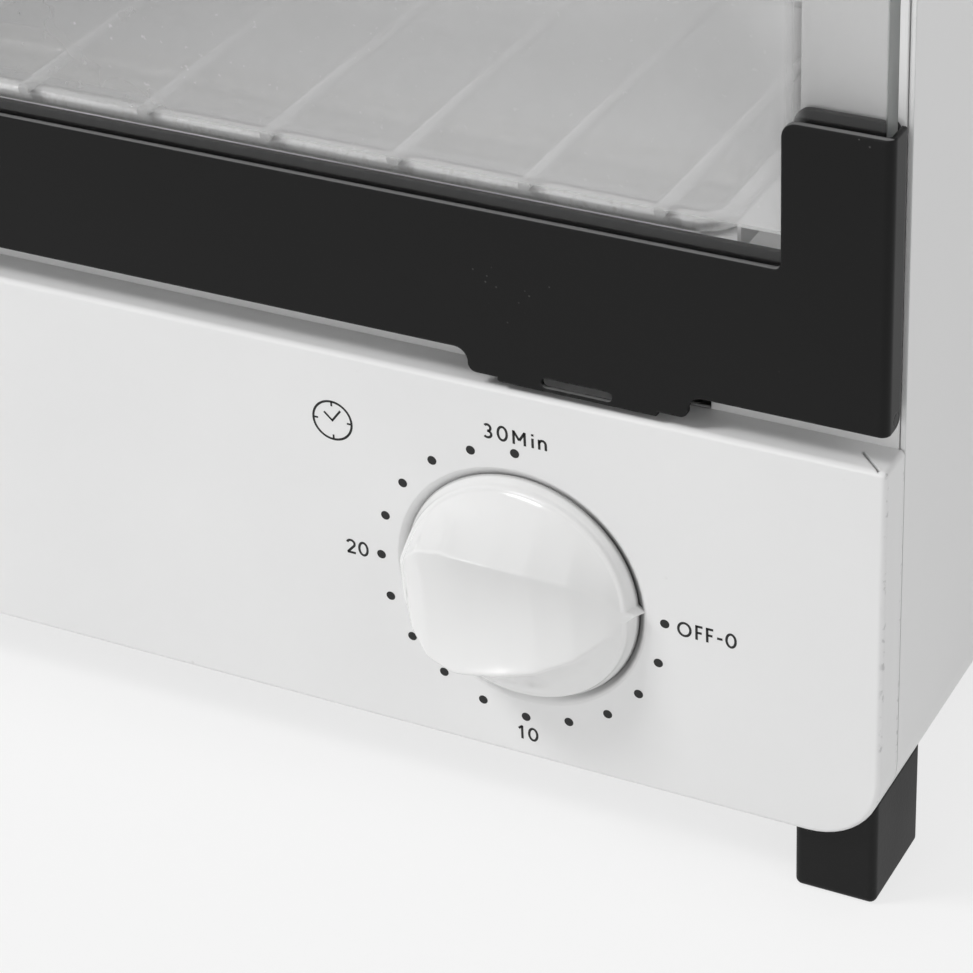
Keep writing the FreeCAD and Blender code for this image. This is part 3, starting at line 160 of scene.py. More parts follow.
def new_group(name, takes, gives):
    """An empty node group with named inputs and outputs."""
    group = bpy.data.node_groups.new(name, "ShaderNodeTree")
    for label, kind, value in takes:
        socket = group.interface.new_socket(label, in_out="INPUT", socket_type=kind)
        socket.default_value = value
    for label, kind in gives:
        group.interface.new_socket(label, in_out="OUTPUT", socket_type=kind)
    return group, group.nodes.new("NodeGroupInput"), group.nodes.new("NodeGroupOutput")


def make_skin_group():
    """Skin: a fine lumpy coat over a softened edge; gives a normal and a slow drift of tone."""
    group, given, out = new_group(
        "coat_skin",
        (("Grain", "NodeSocketFloat", 900.0), ("Depth", "NodeSocketFloat", 0.00001),
         ("Edge", "NodeSocketFloat", 0.0003)),
        (("Normal", "NodeSocketVector"), ("Drift", "NodeSocketFloat"), ("Wear", "NodeSocketFloat")))
    place = own_place(group)
    lump = add(group, "ShaderNodeTexNoise", Detail=3.0, Roughness=0.55)
    group.links.new(place, lump.inputs["Vector"])
    group.links.new(given.outputs["Grain"], lump.inputs["Scale"])
    edge = add(group, "ShaderNodeBevel", {"samples": 6})
    group.links.new(given.outputs["Edge"], edge.inputs["Radius"])
    bump = add(group, "ShaderNodeBump", Strength=1.0)
    group.links.new(lump.outputs["Fac"], bump.inputs["Height"])
    group.links.new(given.outputs["Depth"], bump.inputs["Distance"])
    group.links.new(edge.outputs["Normal"], bump.inputs["Normal"])
    group.links.new(bump.outputs["Normal"], out.inputs["Normal"])
    group.links.new(noise(group, place, 18.0, 3.0), out.inputs["Drift"])
    flat = add(group, "ShaderNodeNewGeometry")
    turn = add(group, "ShaderNodeVectorMath", {"operation": "DOT_PRODUCT"})
    group.links.new(edge.outputs["Normal"], turn.inputs[0])
    group.links.new(flat.outputs["Normal"], turn.inputs[1])
    worn = spread(group, turn.outputs["Value"], 0.995, 0.93)
    chips = spread(group, noise(group, place, 700.0, 4.0), 0.52, 0.62)
    group.links.new(maths(group, "MULTIPLY", worn, chips), out.inputs["Wear"])
    return group


def make_dust_group():
    """Dust: sparse tiny specks and a thin film on faces that look up; gives two masks."""
    group, given, out = new_group(
        "settled_dust",
        (("Specks", "NodeSocketFloat", 400.0), ("Amount", "NodeSocketFloat", 0.5)),
        (("Speck", "NodeSocketFloat"), ("Film", "NodeSocketFloat")))
    place = own_place(group)
    cells = add(group, "ShaderNodeTexVoronoi", {"feature": "F1"})
    group.links.new(place, cells.inputs["Vector"])
    group.links.new(given.outputs["Specks"], cells.inputs["Scale"])
    near = spread(group, cells.outputs["Distance"], 0.10, 0.05)
    chosen = spread(group, noise(group, place, 55.0, 2.0), 0.62, 0.70)
    speck = maths(group, "MULTIPLY", maths(group, "MULTIPLY", near, chosen), given.outputs["Amount"])
    group.links.new(speck, out.inputs["Speck"])
    facing = add(group, "ShaderNodeSeparateXYZ")
    group.links.new(add(group, "ShaderNodeNewGeometry").outputs["Normal"], facing.inputs[0])
    level = spread(group, facing.outputs["Z"], 0.4, 1.0)
    patch = spread(group, noise(group, place, 120.0, 4.0), 0.35, 0.75)
    film = maths(group, "MULTIPLY", maths(group, "MULTIPLY", level, patch), given.outputs["Amount"])
    group.links.new(film, out.inputs["Film"])
    return group


def make_draw_group():
    """Drawn sheet: faint lines along one way and clouded plating; gives a shade and a normal."""
    group, given, out = new_group(
        "rolled_sheet",
        (("Lines", "NodeSocketFloat", 60.0), ("Depth", "NodeSocketFloat", 0.000004)),
        (("Shade", "NodeSocketFloat"), ("Normal", "NodeSocketVector")))
    place = own_place(group)
    along = add(group, "ShaderNodeMapping")
    along.inputs["Scale"].default_value = (1.0, 40.0, 40.0)
    group.links.new(place, along.inputs["Vector"])
    lines = add(group, "ShaderNodeTexNoise", Detail=4.0, Roughness=0.6)
    group.links.new(along.outputs["Vector"], lines.inputs["Vector"])
    group.links.new(given.outputs["Lines"], lines.inputs["Scale"])
    cloud = noise(group, place, 35.0, 4.0, 0.6)
    shade = maths(group, "ADD", maths(group, "MULTIPLY", lines.outputs["Fac"], 0.35),
                  maths(group, "MULTIPLY", cloud, 0.65))
    group.links.new(shade, out.inputs["Shade"])
    bump = add(group, "ShaderNodeBump", Strength=1.0)
    group.links.new(lines.outputs["Fac"], bump.inputs["Height"])
    group.links.new(given.outputs["Depth"], bump.inputs["Distance"])
    group.links.new(bump.outputs["Normal"], out.inputs["Normal"])
    return group


SKIN = make_skin_group()
DUST = make_dust_group()
DRAWN = make_draw_group()


def use_group(tree, group, **values):
    """Places a shared effect with its own values."""
    made = tree.nodes.new("ShaderNodeGroup")
    made.node_tree = group
    for name, value in values.items():
        made.inputs[name].default_value = value
    return made


# ---- materials ----

def start_material(name, roughness, metallic=0.0, specular=0.5):
    """A named material with one shader joined to its output."""
    made = bpy.data.materials.new(name)
    made.use_nodes = True
    tree = made.node_tree
    tree.nodes.clear()
    out = tree.nodes.new("ShaderNodeOutputMaterial")
    shader = tree.nodes.new("ShaderNodeBsdfPrincipled")
    shader.inputs["Roughness"].default_value = roughness
    shader.inputs["Metallic"].default_value = metallic
    shader.inputs["Specular IOR Level"].default_value = specular
    tree.links.new(shader.outputs["BSDF"], out.inputs["Surface"])
    return made, tree, shader, out


def white_enamel():
    """White stoved enamel: slight orange peel, a drift of tone, scuffs at the folds and painted shade in the
    dish.
    """
    made, tree, shader, _ = start_material("white_enamel", 0.34, specular=0.45)
    skin = use_group(tree, SKIN, Grain=650.0, Depth=0.000012, Edge=0.0004)
    tree.links.new(skin.outputs["Normal"], shader.inputs["Normal"])
    place = own_place(tree)
    apart = add(tree, "ShaderNodeSeparateXYZ")
    tree.links.new(place, apart.inputs[0])
    drift = spread(tree, skin.outputs["Drift"], 0.3, 0.7)
    tone = blended(tree, drift, (0.765, 0.765, 0.765), (0.795, 0.795, 0.793))
    # Scuffs sit along the upright fold and along the seam behind it.
    on_side = spread(tree, maths(tree, "ABSOLUTE", apart.outputs["X"]), SIDE_X - 1.1 * MM, SIDE_X - 0.5 * MM)
    off_fold = maths(tree, "ABSOLUTE", maths(tree, "SUBTRACT", apart.outputs["Y"], PANEL_Y + FOLD_IN))
    off_seam = maths(tree, "ABSOLUTE", maths(tree, "SUBTRACT", apart.outputs["Y"], PANEL_Y + SEAM_IN))
    near_line = spread(tree, maths(tree, "MINIMUM", off_fold, off_seam), 0.0006, 0.0002)
    marks = spread(tree, noise(tree, place, 900.0, 3.0, 0.6, (1.0, 1.0, 0.6)), 0.58, 0.66)
    scuffs = maths(tree, "MULTIPLY", maths(tree, "MULTIPLY", near_line, on_side), marks)
    tone = blended(tree, maths(tree, "MULTIPLY", scuffs, 0.45), tone, (0.30, 0.30, 0.30))
    # Painted shade in the pressed dish around the knob, light grey on the left and darkest on the right,
    # stands in for the knob's shadow.
    # Known fault: the mask has no end in depth, so the back panel gets the same round mark.
    off_x = maths(tree, "SUBTRACT", apart.outputs["X"], DIAL_X)
    off_z = maths(tree, "SUBTRACT", apart.outputs["Z"], DIAL_Z)
    squares = maths(tree, "ADD", maths(tree, "MULTIPLY", off_x, off_x), maths(tree, "MULTIPLY", off_z, off_z))
    within = spread(tree, maths(tree, "SQRT", squares), DISH_R, DISH_R + 1.0 * MM, 1.0, 0.0)
    sunk = spread(tree, apart.outputs["Y"], PANEL_Y + 0.2 * MM, PANEL_Y + 0.6 * MM)
    painted_ramp_right = spread(tree, off_x, 4.0 * MM, 18.0 * MM, 0.12, 0.85)
    amount = maths(tree, "MULTIPLY", maths(tree, "MULTIPLY", within, sunk), painted_ramp_right)
    # The dish's painted shade is mixed in here as a dark grey.
    tone = blended(tree, amount, tone, (0.16, 0.16, 0.16))
    dust = use_group(tree, DUST, Specks=260.0, Amount=0.5)
    tone = blended(tree, maths(tree, "MULTIPLY", dust.outputs["Speck"], 0.5), tone, (0.45, 0.44, 0.43))
    tree.links.new(tone, shader.inputs["Base Color"])
    tree.links.new(spread(tree, skin.outputs["Drift"], 0.3, 0.7, 0.30, 0.38), shader.inputs["Roughness"])
    return made


def black_powder():
    """Black powder coat: fine grain, rounded edges with a little wear, a painted highlight along the upper
    edges of the front plate and a little settled dust.
    """
    made, tree, shader, _ = start_material("black_powder", 0.45, specular=0.16)
    skin = use_group(tree, SKIN, Grain=2600.0, Depth=0.000010, Edge=0.0005)
    tree.links.new(skin.outputs["Normal"], shader.inputs["Normal"])
    dust = use_group(tree, DUST, Specks=500.0, Amount=0.5)
    tone = blended(tree, skin.outputs["Drift"], (0.005, 0.005, 0.005), (0.008, 0.008, 0.008))
    tone = blended(tree, maths(tree, "MULTIPLY", dust.outputs["Film"], 0.06), tone, (0.35, 0.35, 0.35))
    tone = blended(tree, maths(tree, "MULTIPLY", dust.outputs["Speck"], 0.35), tone, (0.40, 0.39, 0.38))
    tone = blended(tree, maths(tree, "MULTIPLY", skin.outputs["Wear"], 0.12), tone, (0.25, 0.25, 0.25))
    # A painted highlight lightens the upward-facing edges of the front plate, standing in for light caught on
    # their rounding.
    apart = add(tree, "ShaderNodeSeparateXYZ")
    tree.links.new(own_place(tree), apart.inputs[0])
    facing = add(tree, "ShaderNodeSeparateXYZ")
    tree.links.new(add(tree, "ShaderNodeTexCoord").outputs["Normal"], facing.inputs[0])
    in_front = spread(tree, apart.outputs["Y"], PANEL_Y + 0.8 * MM, PANEL_Y + 0.6 * MM)
    painted_edge_highlight = maths(tree, "MULTIPLY", spread(tree, facing.outputs["Z"], 0.45, 0.75), in_front)
    tone = blended(tree, maths(tree, "MULTIPLY", painted_edge_highlight, 0.45), tone, (0.35, 0.35, 0.35))
    tree.links.new(tone, shader.inputs["Base Color"])
    tree.links.new(spread(tree, skin.outputs["Drift"], 0.3, 0.7, 0.40, 0.50), shader.inputs["Roughness"])
    return made


def sheet_metal(name, dark, light, roughness, lines=60.0, metallic=1.0):
    """Plated or aluminised sheet: faint rolling lines, clouded tone and a soft gloss."""
    made, tree, shader, _ = start_material(name, roughness, metallic)
    drawn = use_group(tree, DRAWN, Lines=lines, Depth=0.000004)
    tree.links.new(blended(tree, spread(tree, drawn.outputs["Shade"], 0.35, 0.65), dark, light),
                   shader.inputs["Base Color"])
    tree.links.new(spread(tree, drawn.outputs["Shade"], 0.3, 0.7, roughness + 0.05, roughness - 0.05),
                   shader.inputs["Roughness"])
    tree.links.new(drawn.outputs["Normal"], shader.inputs["Normal"])
    return made


def bright_wire():
    """Bright plated wire with a few dull spots."""
    made, tree, shader, _ = start_material("bright_wire", 0.40, 0.3)
    place = own_place(tree)
    spots = spread(tree, noise(tree, place, 900.0, 3.0), 0.50, 0.70)
    tree.links.new(blended(tree, spots, (0.86, 0.86, 0.86), (0.74, 0.73, 0.72)), shader.inputs["Base Color"])
    tree.links.new(spread(tree, spots, 0.0, 1.0, 0.36, 0.48), shader.inputs["Roughness"])
    return made


def heater_steel():
    """Heating rod: a sheath that heat has dulled, darker in patches."""
    made, tree, shader, _ = start_material("heater_steel", 0.38, 0.3)
    place = own_place(tree)
    patch = spread(tree, noise(tree, place, 60.0, 4.0, 0.6, (0.4, 1.0, 1.0)), 0.35, 0.70)
    tree.links.new(blended(tree, patch, (0.78, 0.77, 0.76), (0.66, 0.65, 0.63)), shader.inputs["Base Color"])
    tree.links.new(spread(tree, patch, 0.0, 1.0, 0.30, 0.48), shader.inputs["Roughness"])
    return made


def pane_glass():
    """Clear pane: a greyer margin over the frame, dull cut edges, and over the opening a clearer middle and a
    pale film, both painted light that brightens the chamber behind, the film lighter towards the right.
    """
    made, tree, shader, out = start_material("pane_glass", 0.0, 0.0)
    shader.inputs["Transmission Weight"].default_value = 1.0
    shader.inputs["IOR"].default_value = 1.46
    place = own_place(tree)
    cloud = spread(tree, noise(tree, place, 22.0, 4.0, 0.6), 0.35, 0.70)
    across = add(tree, "ShaderNodeSeparateXYZ")
    tree.links.new(place, across.inputs[0])
    outwards = maths(tree, "ABSOLUTE", across.outputs["X"])
    # The pane is clearer over the opening than over its margin; the clearer middle is painted light that
    # lifts the chamber's tone.
    clear_tint = blended(tree, cloud, (0.95, 0.95, 0.95), (0.97, 0.97, 0.97))
    past_opening = spread(tree, outwards, OPENING_X, OPENING_X + 2.0 * MM)
    veil = blended(tree, past_opening, clear_tint, (0.70, 0.70, 0.70))
    at_edge = spread(tree, outwards, PANE_X - 0.3 * MM, PANE_X - 0.1 * MM)
    veil = blended(tree, at_edge, veil, (0.22, 0.24, 0.23))
    tree.links.new(veil, shader.inputs["Base Color"])
    tree.links.new(maths(tree, "MULTIPLY", at_edge, 0.4), shader.inputs["Roughness"])
    # A pale diffuse film over the opening, lighter towards the right, is painted light standing in for light
    # in the chamber; fine specks mottle it.
    specks = spread(tree, noise(tree, place, 700.0, 2.0), 0.70, 0.76)
    film = tree.nodes.new("ShaderNodeBsdfDiffuse")
    painted_ramp_right = spread(tree, across.outputs["X"], -80.0 * MM, 60.0 * MM)
    painted_light_haze = blended(tree, painted_ramp_right, (0.37, 0.37, 0.37), (0.70, 0.70, 0.70))
    tree.links.new(blended(tree, specks, painted_light_haze, (0.75, 0.75, 0.75)), film.inputs["Color"])
    between = spread(tree, outwards, OPENING_X - 0.5 * MM, OPENING_X + 2.0 * MM, 1.0, 0.0)
    above = spread(tree, across.outputs["Z"], FILM_Z, FILM_Z + 0.6 * MM)
    patchy = spread(tree, cloud, 0.0, 1.0, 0.34, 0.40)
    thickness = maths(tree, "MULTIPLY", maths(tree, "MULTIPLY", between, above), patchy)
    # Mixes the pane with its film of painted light and fine specks.
    dust_and_light_film = tree.nodes.new("ShaderNodeMixShader")
    tree.links.new(maths(tree, "ADD", 0.01, thickness), dust_and_light_film.inputs[0])
    tree.links.new(shader.outputs["BSDF"], dust_and_light_film.inputs[1])
    tree.links.new(film.outputs["BSDF"], dust_and_light_film.inputs[2])
    clear = add(tree, "ShaderNodeBsdfTransparent")
    clear.inputs["Color"].default_value = (0.98, 0.98, 0.98, 1.0)
    path = tree.nodes.new("ShaderNodeLightPath")
    through = maths(tree, "MAXIMUM", path.outputs["Is Shadow Ray"], path.outputs["Is Diffuse Ray"])
    mix = tree.nodes.new("ShaderNodeMixShader")
    tree.links.new(through, mix.inputs[0])
    tree.links.new(dust_and_light_film.outputs[0], mix.inputs[1])
    tree.links.new(clear.outputs["BSDF"], mix.inputs[2])
    tree.links.new(mix.outputs[0], out.inputs["Surface"])
    return made


def moulded(name, dark, light, low, high, grain=900.0, depth=0.000006, edge=0.0003, specular=0.5, dust_and_light_film=0.0):
    """Moulded or formed stuff: its grain, a drift of tone and of gloss, and dust where it gathers."""
    made, tree, shader, _ = start_material(name, (low + high) / 2, specular=specular)
    skin = use_group(tree, SKIN, Grain=grain, Depth=depth, Edge=edge)
    tree.links.new(skin.outputs["Normal"], shader.inputs["Normal"])
    drift = spread(tree, skin.outputs["Drift"], 0.3, 0.7)
    tone = blended(tree, drift, dark, light)
    if dust_and_light_film:
        dust = use_group(tree, DUST, Specks=600.0, Amount=dust_and_light_film)
        tone = blended(tree, maths(tree, "MULTIPLY", dust.outputs["Film"], 0.25), tone, (0.40, 0.39, 0.38))
        tone = blended(tree, dust.outputs["Speck"], tone, (0.45, 0.44, 0.43))
    tree.links.new(tone, shader.inputs["Base Color"])
    tree.links.new(spread(tree, skin.outputs["Drift"], 0.3, 0.7, low, high), shader.inputs["Roughness"])
    return made


def zinc_plate():
    """Zinc plated steel: clouded crystals and a dull shine."""
    made, tree, shader, _ = start_material("zinc_plate", 0.35, 1.0)
    place = own_place(tree)
    grains = add(tree, "ShaderNodeTexVoronoi", {"feature": "F1"}, Scale=500.0)
    tree.links.new(place, grains.inputs["Vector"])
    apart = add(tree, "ShaderNodeSeparateColor")
    tree.links.new(grains.outputs["Color"], apart.inputs[0])
    tree.links.new(blended(tree, apart.outputs[0], (0.55, 0.56, 0.58), (0.68, 0.69, 0.70)),
                   shader.inputs["Base Color"])
    tree.links.new(spread(tree, apart.outputs[1], 0.0, 1.0, 0.28, 0.44), shader.inputs["Roughness"])
    return made


def wool_felt():
    """Mineral wool: matted fibres, with painted shade that darkens the hollows of their bump."""
    made, tree, shader, _ = start_material("wool_felt", 0.95, specular=0.1)
    place = own_place(tree)
    fibre = noise(tree, place, 380.0, 6.0, 0.7, (0.3, 1.0, 1.0))
    # The tone follows the bump's height, so the hollows are darker as painted shade.
    tree.links.new(blended(tree, spread(tree, fibre, 0.35, 0.65), (0.40, 0.34, 0.20), (0.72, 0.66, 0.48)),
                   shader.inputs["Base Color"])
    bump = add(tree, "ShaderNodeBump", Strength=0.8, Distance=0.0006)
    tree.links.new(fibre, bump.inputs["Height"])
    tree.links.new(bump.outputs["Normal"], shader.inputs["Normal"])
    return made


def lamp_red():
    """Red lamp lens: clear moulded plastic with a glossy coat."""
    made, tree, shader, _ = start_material("lamp_red", 0.12)
    place = own_place(tree)
    tree.links.new(blended(tree, noise(tree, place, 500.0, 2.0), (0.36, 0.008, 0.006), (0.52, 0.02, 0.012)),
                   shader.inputs["Base Color"])
    shader.inputs["Coat Weight"].default_value = 0.6
    return made


def printed_ink():
    """Screen printed ink: near black with a faint mottle in its tone."""
    made, tree, shader, _ = start_material("printed_ink", 0.5, specular=0.3)
    place = own_place(tree)
    broken = noise(tree, place, 2500.0, 3.0)
    tree.links.new(blended(tree, broken, (0.010, 0.010, 0.010), (0.022, 0.022, 0.022)),
                   shader.inputs["Base Color"])
    return made


ENAMEL = white_enamel()
KNOB_PLASTIC = moulded("knob_plastic", (0.775, 0.775, 0.772), (0.795, 0.795, 0.79), 0.10, 0.16,
                       grain=160.0, depth=0.000010, edge=0.0002)
INK = printed_ink()
FINISHES = {
    "white_paint": ENAMEL,
    "bright_sheet": sheet_metal("chamber_sheet", (0.96, 0.96, 0.96), (0.98, 0.98, 0.98), 0.50, 45.0, 0.1),
    "chrome_wire": bright_wire(),
    "heater_sheath": heater_steel(),
    "ceramic": moulded("ceramic", (0.70, 0.67, 0.60), (0.80, 0.78, 0.72), 0.55, 0.7, 1200.0, 0.00003),
    "mineral_wool": wool_felt(),
    "black_paint": black_powder(),
    "clear_glass": pane_glass(),
    "silicone": moulded("silicone", (0.020, 0.020, 0.021), (0.030, 0.030, 0.031), 0.6, 0.75, dust_and_light_film=0.3),
    "black_plastic": moulded("black_plastic", (0.012, 0.012, 0.012), (0.020, 0.020, 0.020), 0.34, 0.46,
                             1800.0, 0.00002, 0.0005, dust_and_light_film=0.2),
    "white_plastic": KNOB_PLASTIC,
    "foot_rubber": moulded("foot_rubber", (0.005, 0.005, 0.005), (0.010, 0.010, 0.010), 0.42, 0.58,
                           1500.0, 0.00003, 0.0005, specular=0.18, dust_and_light_film=0.3),
    "black_rubber": moulded("black_rubber", (0.014, 0.014, 0.014), (0.024, 0.024, 0.024), 0.5, 0.65),
    "zinc_steel": zinc_plate(),
    "brass_blades": sheet_metal("brass_blades", (0.62, 0.44, 0.18), (0.74, 0.56, 0.26), 0.3),
    "cam_plastic": moulded("cam_plastic", (0.50, 0.47, 0.40), (0.62, 0.59, 0.52), 0.4, 0.55),
    "red_lens": lamp_red(),
}


def dress_frame():
    """Every carried-over node gets the material that its slot names."""
    for row in frame["record"]["subparts"]:
        piece = frame["nodes"][row["node"]]
        for held in piece.material_slots:
            held.material = FINISHES[row["material_slot"]]


# ---- surfaces worked out on grids ----

def grid_faces(rows, columns, closed_columns=False):
    """Quads between neighbouring points of a grid; closed columns join the last one to the first."""
    row = np.arange(rows - 1)
    column = np.arange(columns if closed_columns else columns - 1)
    r, c = np.meshgrid(row, column, indexing="ij")
    c2 = (c + 1) % columns
    here = r * columns
    quads = np.stack([here + c, here + c2, here + columns + c2, here + columns + c], axis=-1)
    return quads.reshape(-1, 4)


def make_mesh(name, points, quads, material, body, smooth=True):
    """A piece from points in metres and quads; a pole is a row of points at one place, merged after."""
    points = np.asarray(points, float).reshape(-1, 3)
    quads = np.asarray(quads, int)
    mesh = bpy.data.meshes.new(name)
    mesh.from_pydata(points.tolist(), [], quads.tolist())
    mesh.materials.append(material)
    piece = bpy.data.objects.new(name, mesh)
    bpy.context.scene.collection.objects.link(piece)
    work = bmesh.new()
    work.from_mesh(mesh)
    bmesh.ops.remove_doubles(work, verts=work.verts, dist=1e-7)
    work.to_mesh(mesh)
    work.free()
    mesh.polygons.foreach_set("use_smooth", np.full(len(mesh.polygons), smooth))
    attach(piece, body)
    return piece


# ---- printing round the dial ----

PRINT_LIFT = 0.02 * MM
# The dots: their number, the degrees between two, and in millimetres their ring's radius and their own.
DOT_COUNT = 16
DOT_STEP = 18.0
RING_R = 25.0
DOT_R = 0.8


def bow(x, z, wide, high, start, end, count=24):
    """Points on an ellipse's arc: centre plus half sizes times cosine and sine, from start to end degrees."""
    angle = np.radians(np.linspace(start, end, count))
    return np.stack([x + wide * np.cos(angle), z + high * np.sin(angle)], axis=1)


def straight(*points):
    """A run through the given points."""
    return np.array(points, float)


def ribbon(path, width):
    """A flat band along a path: each point plus and minus half the width along the path's mean normal."""
    ahead = np.gradient(path, axis=0)
    ahead /= np.linalg.norm(ahead, axis=1, keepdims=True)
    side = np.stack([-ahead[:, 1], ahead[:, 0]], axis=1) * width / 2
    return np.stack([path + side, path - side], axis=1)


def glyph_strokes():
    """Each sign as strokes in a box one high: plain thin letters of even width."""
    return {
        "0": [bow(0.33, 0.5, 0.28, 0.44, 0, 360, 40)],
        "1": [straight((0.02, 0.74), (0.28, 0.96)), straight((0.26, 1.0), (0.26, 0.0))],
        "2": [np.concatenate([bow(0.30, 0.69, 0.25, 0.25, 165, -28, 20), straight((0.07, 0.08))]),
              straight((0.03, 0.07), (0.60, 0.07))],
        "3": [bow(0.27, 0.715, 0.22, 0.22, 140, -90, 20), bow(0.27, 0.28, 0.26, 0.23, 90, -140, 22)],
        "M": [straight((0.06, 0.0), (0.06, 1.0)), straight((0.06, 0.95), (0.45, 0.33)),
              straight((0.84, 0.95), (0.45, 0.33)), straight((0.84, 0.0), (0.84, 1.0))],
        "i": [straight((0.08, 0.0), (0.08, 0.70)), straight((0.08, 0.86), (0.08, 1.02))],
        "n": [straight((0.07, 0.0), (0.07, 0.72)),
              np.concatenate([bow(0.30, 0.42, 0.23, 0.26, 180, 0, 20), straight((0.53, 0.0))])],
        "O": [bow(0.44, 0.5, 0.38, 0.44, 0, 360, 40)],
        "F": [straight((0.07, 0.0), (0.07, 1.0)), straight((0.0, 0.93), (0.45, 0.93)),
              straight((0.07, 0.50), (0.40, 0.50))],
        "-": [straight((0.0, 0.44), (0.34, 0.44))],
    }


def place_print(name, bands):
    """Joins flat bands on the panel's face into one thin film that rides on the cabinet."""
    points, quads, start = [], [], 0
    for band in bands:
        rows, columns = band.shape[:2]
        flat = band.reshape(-1, 2) * MM
        level = np.full(len(flat), PANEL_Y - PRINT_LIFT)
        points.append(np.stack([flat[:, 0] + DIAL_X, level, flat[:, 1] + DIAL_Z], axis=1))
        quads.append(grid_faces(rows, columns) + start)
        start += rows * columns
    piece = make_mesh(name, np.concatenate(points), np.concatenate(quads), INK, "cabinet",
                      smooth=False)
    face_front(piece)


def face_front(piece):
    """Turns each flat face whose normal looks into the panel."""
    for face in piece.data.polygons:
        if face.normal.y > 0:
            face.flip()
    piece.data.update()


def write(words, z, high, width=0.43):
    """Signs, each with its x and share of the height, their feet at z; millimetres from the dial's centre."""
    signs = glyph_strokes()
    bands = []
    for sign, x, share in words:
        for stroke in signs[sign]:
            bands.append(ribbon(stroke * high * share + np.array([x, z]), width))
    return bands


def print_dial():
    """Sixteen dots on a ring, the three numbers, the unit, the off mark and the clock sign."""
    steps = -np.radians(np.arange(DOT_COUNT) * DOT_STEP)
    turn, reach = np.meshgrid(np.radians(np.linspace(0, 360, 25)), np.array([0.0, DOT_R]), indexing="ij")
    disc = np.stack([reach * np.cos(turn), reach * np.sin(turn)], axis=-1)
    place_print("dial_dots", [disc + RING_R * np.array([np.cos(a), np.sin(a)]) for a in steps])
    thirty = (("3", -5.3, 1.0), ("0", -2.9, 1.05), ("M", -0.2, 0.94), ("i", 3.0, 0.94), ("n", 4.15, 0.94))
    place_print("dial_30", write(thirty, 26.75, 2.6))
    place_print("dial_20", write((("2", -31.4, 1.0), ("0", -29.2, 1.0)), -1.25, 2.7))
    place_print("dial_10", write((("1", -1.5, 1.0), ("0", 0.3, 1.0)), -29.55, 2.6))
    off = (("O", 27.15, 1.0), ("F", 30.2, 1.0), ("F", 32.0, 1.0), ("-", 33.85, 1.0), ("0", 35.3, 1.0))
    place_print("dial_off", write(off, -1.5, 2.7))
    hour = np.radians(np.arange(4) * 90.0)
    centre = np.array([-32.3, 23.4])
    ring = [ribbon(bow(*centre, 3.45, 3.45, 0, 360, 64), 0.40)]
    for a in hour:
        way = np.array([np.cos(a), np.sin(a)])
        ring.append(ribbon(np.stack([centre + 2.6 * way, centre + 3.4 * way]), 0.34))
    hands = [ribbon(straight(centre + (0.1, -0.1), (-33.75, 24.75)), 0.36),
             ribbon(straight(centre + (-0.1, -0.1), (-30.75, 25.45)), 0.36)]
    place_print("dial_clock", ring + hands)


# ---- timer knob ----

# How far the knob is turned in the photograph, and in millimetres its rim, back edge, nose and rolled edge.
KNOB_TILT = math.radians(2.9)
RIM_R = 19.5
BACK_R = 20.4
NOSE_R = 20.9
RIM_ROLL = 0.7
# How much closer the turns stand at the nose, the height where the flank starts, and its blend with the top.
NOSE_CROWDING = 0.72
FLANK_FOOT = 1.6
SOFTNESS = 0.22

# Rings down the side and into the hollow back: the share of the widening, and the height over the panel.
KNOB_SIDE = ((0.25, 0.7), (0.7, 0.1), (1.0, -0.6), (-0.3, -0.6), (-0.8, -0.3))

# The grip from its blunt end to the nose: places along it, its half width, its crest's height and its hollow.
GRIP_X = (-20.5, -19.6, -18.5, -16.5, -13.0, -8.0, -6.0, 0.0, 6.0, 12.0, 17.0, 19.0, 19.6, 22.0)
GRIP_HALF_WIDTH = (1.0, 2.0, 3.9, 6.8, 10.0, 11.2, 11.0, 10.3, 9.2, 7.0, 3.4, 1.4, 0.3, 0.1)
GRIP_CREST = (1.7, 2.9, 4.6, 7.2, 9.4, 10.6, 10.8, 10.4, 9.3, 6.9, 3.9, 2.4, 2.0, 1.5)
GRIP_HOLLOW = (0.0, 0.0, 0.0, 0.2, 0.9, 2.0, 2.3, 2.3, 1.7, 0.8, 0.2, 0.0, 0.0, 0.0)


def smoothed(values, width):
    """A moving average, twice over, with the ends held."""
    kernel = np.hanning(width + 2)[1:-1]
    kernel /= kernel.sum()
    padded = np.concatenate([np.full(width, values[0]), values, np.full(width, values[-1])])
    return np.convolve(padded, kernel, mode="same")[width:-width]


def knob_height(x, z):
    """Height over the panel, in millimetres, at a place on the knob.

    It is the softened lower of two surfaces. The grip's top is crest - hollow * (1 - (|z| / half) ** 2).
    Its flank sweeps up from the rim to the grip's edge: FLANK_FOOT + (crest - FLANK_FOOT) * share ** 1.5.
    """
    along = np.linspace(GRIP_X[0], GRIP_X[-1], 426)
    half = smoothed(np.interp(along, GRIP_X, GRIP_HALF_WIDTH), 15)
    crest = smoothed(np.interp(along, GRIP_X, GRIP_CREST), 25)
    hollow = smoothed(np.interp(along, GRIP_X, GRIP_HOLLOW), 35)
    base = np.sqrt(np.maximum(RIM_R ** 2 - np.minimum(np.abs(x), RIM_R) ** 2, 0.0))
    # Towards the nose the base narrows as a wedge instead of closing at the rim.
    base = np.maximum(base, 0.25 + np.maximum(NOSE_R - x, 0) * 0.4 * (x > 0))
    w = np.maximum(np.minimum(np.interp(x, along, half), base - 0.2), 0.05)
    hc = np.interp(x, along, crest)
    deep = np.interp(x, along, hollow)
    reach = np.abs(z)
    over = hc - deep * (1 - (reach / w) ** 2)
    share = np.clip((base - reach) / np.maximum(base - w, 0.3), 0.0, 1.6)
    flank = FLANK_FOOT + (hc - FLANK_FOOT) * share ** 1.5
    lower = -SOFTNESS * np.log(np.exp(-over / SOFTNESS) + np.exp(-flank / SOFTNESS))
    return np.maximum(lower, 0.9)


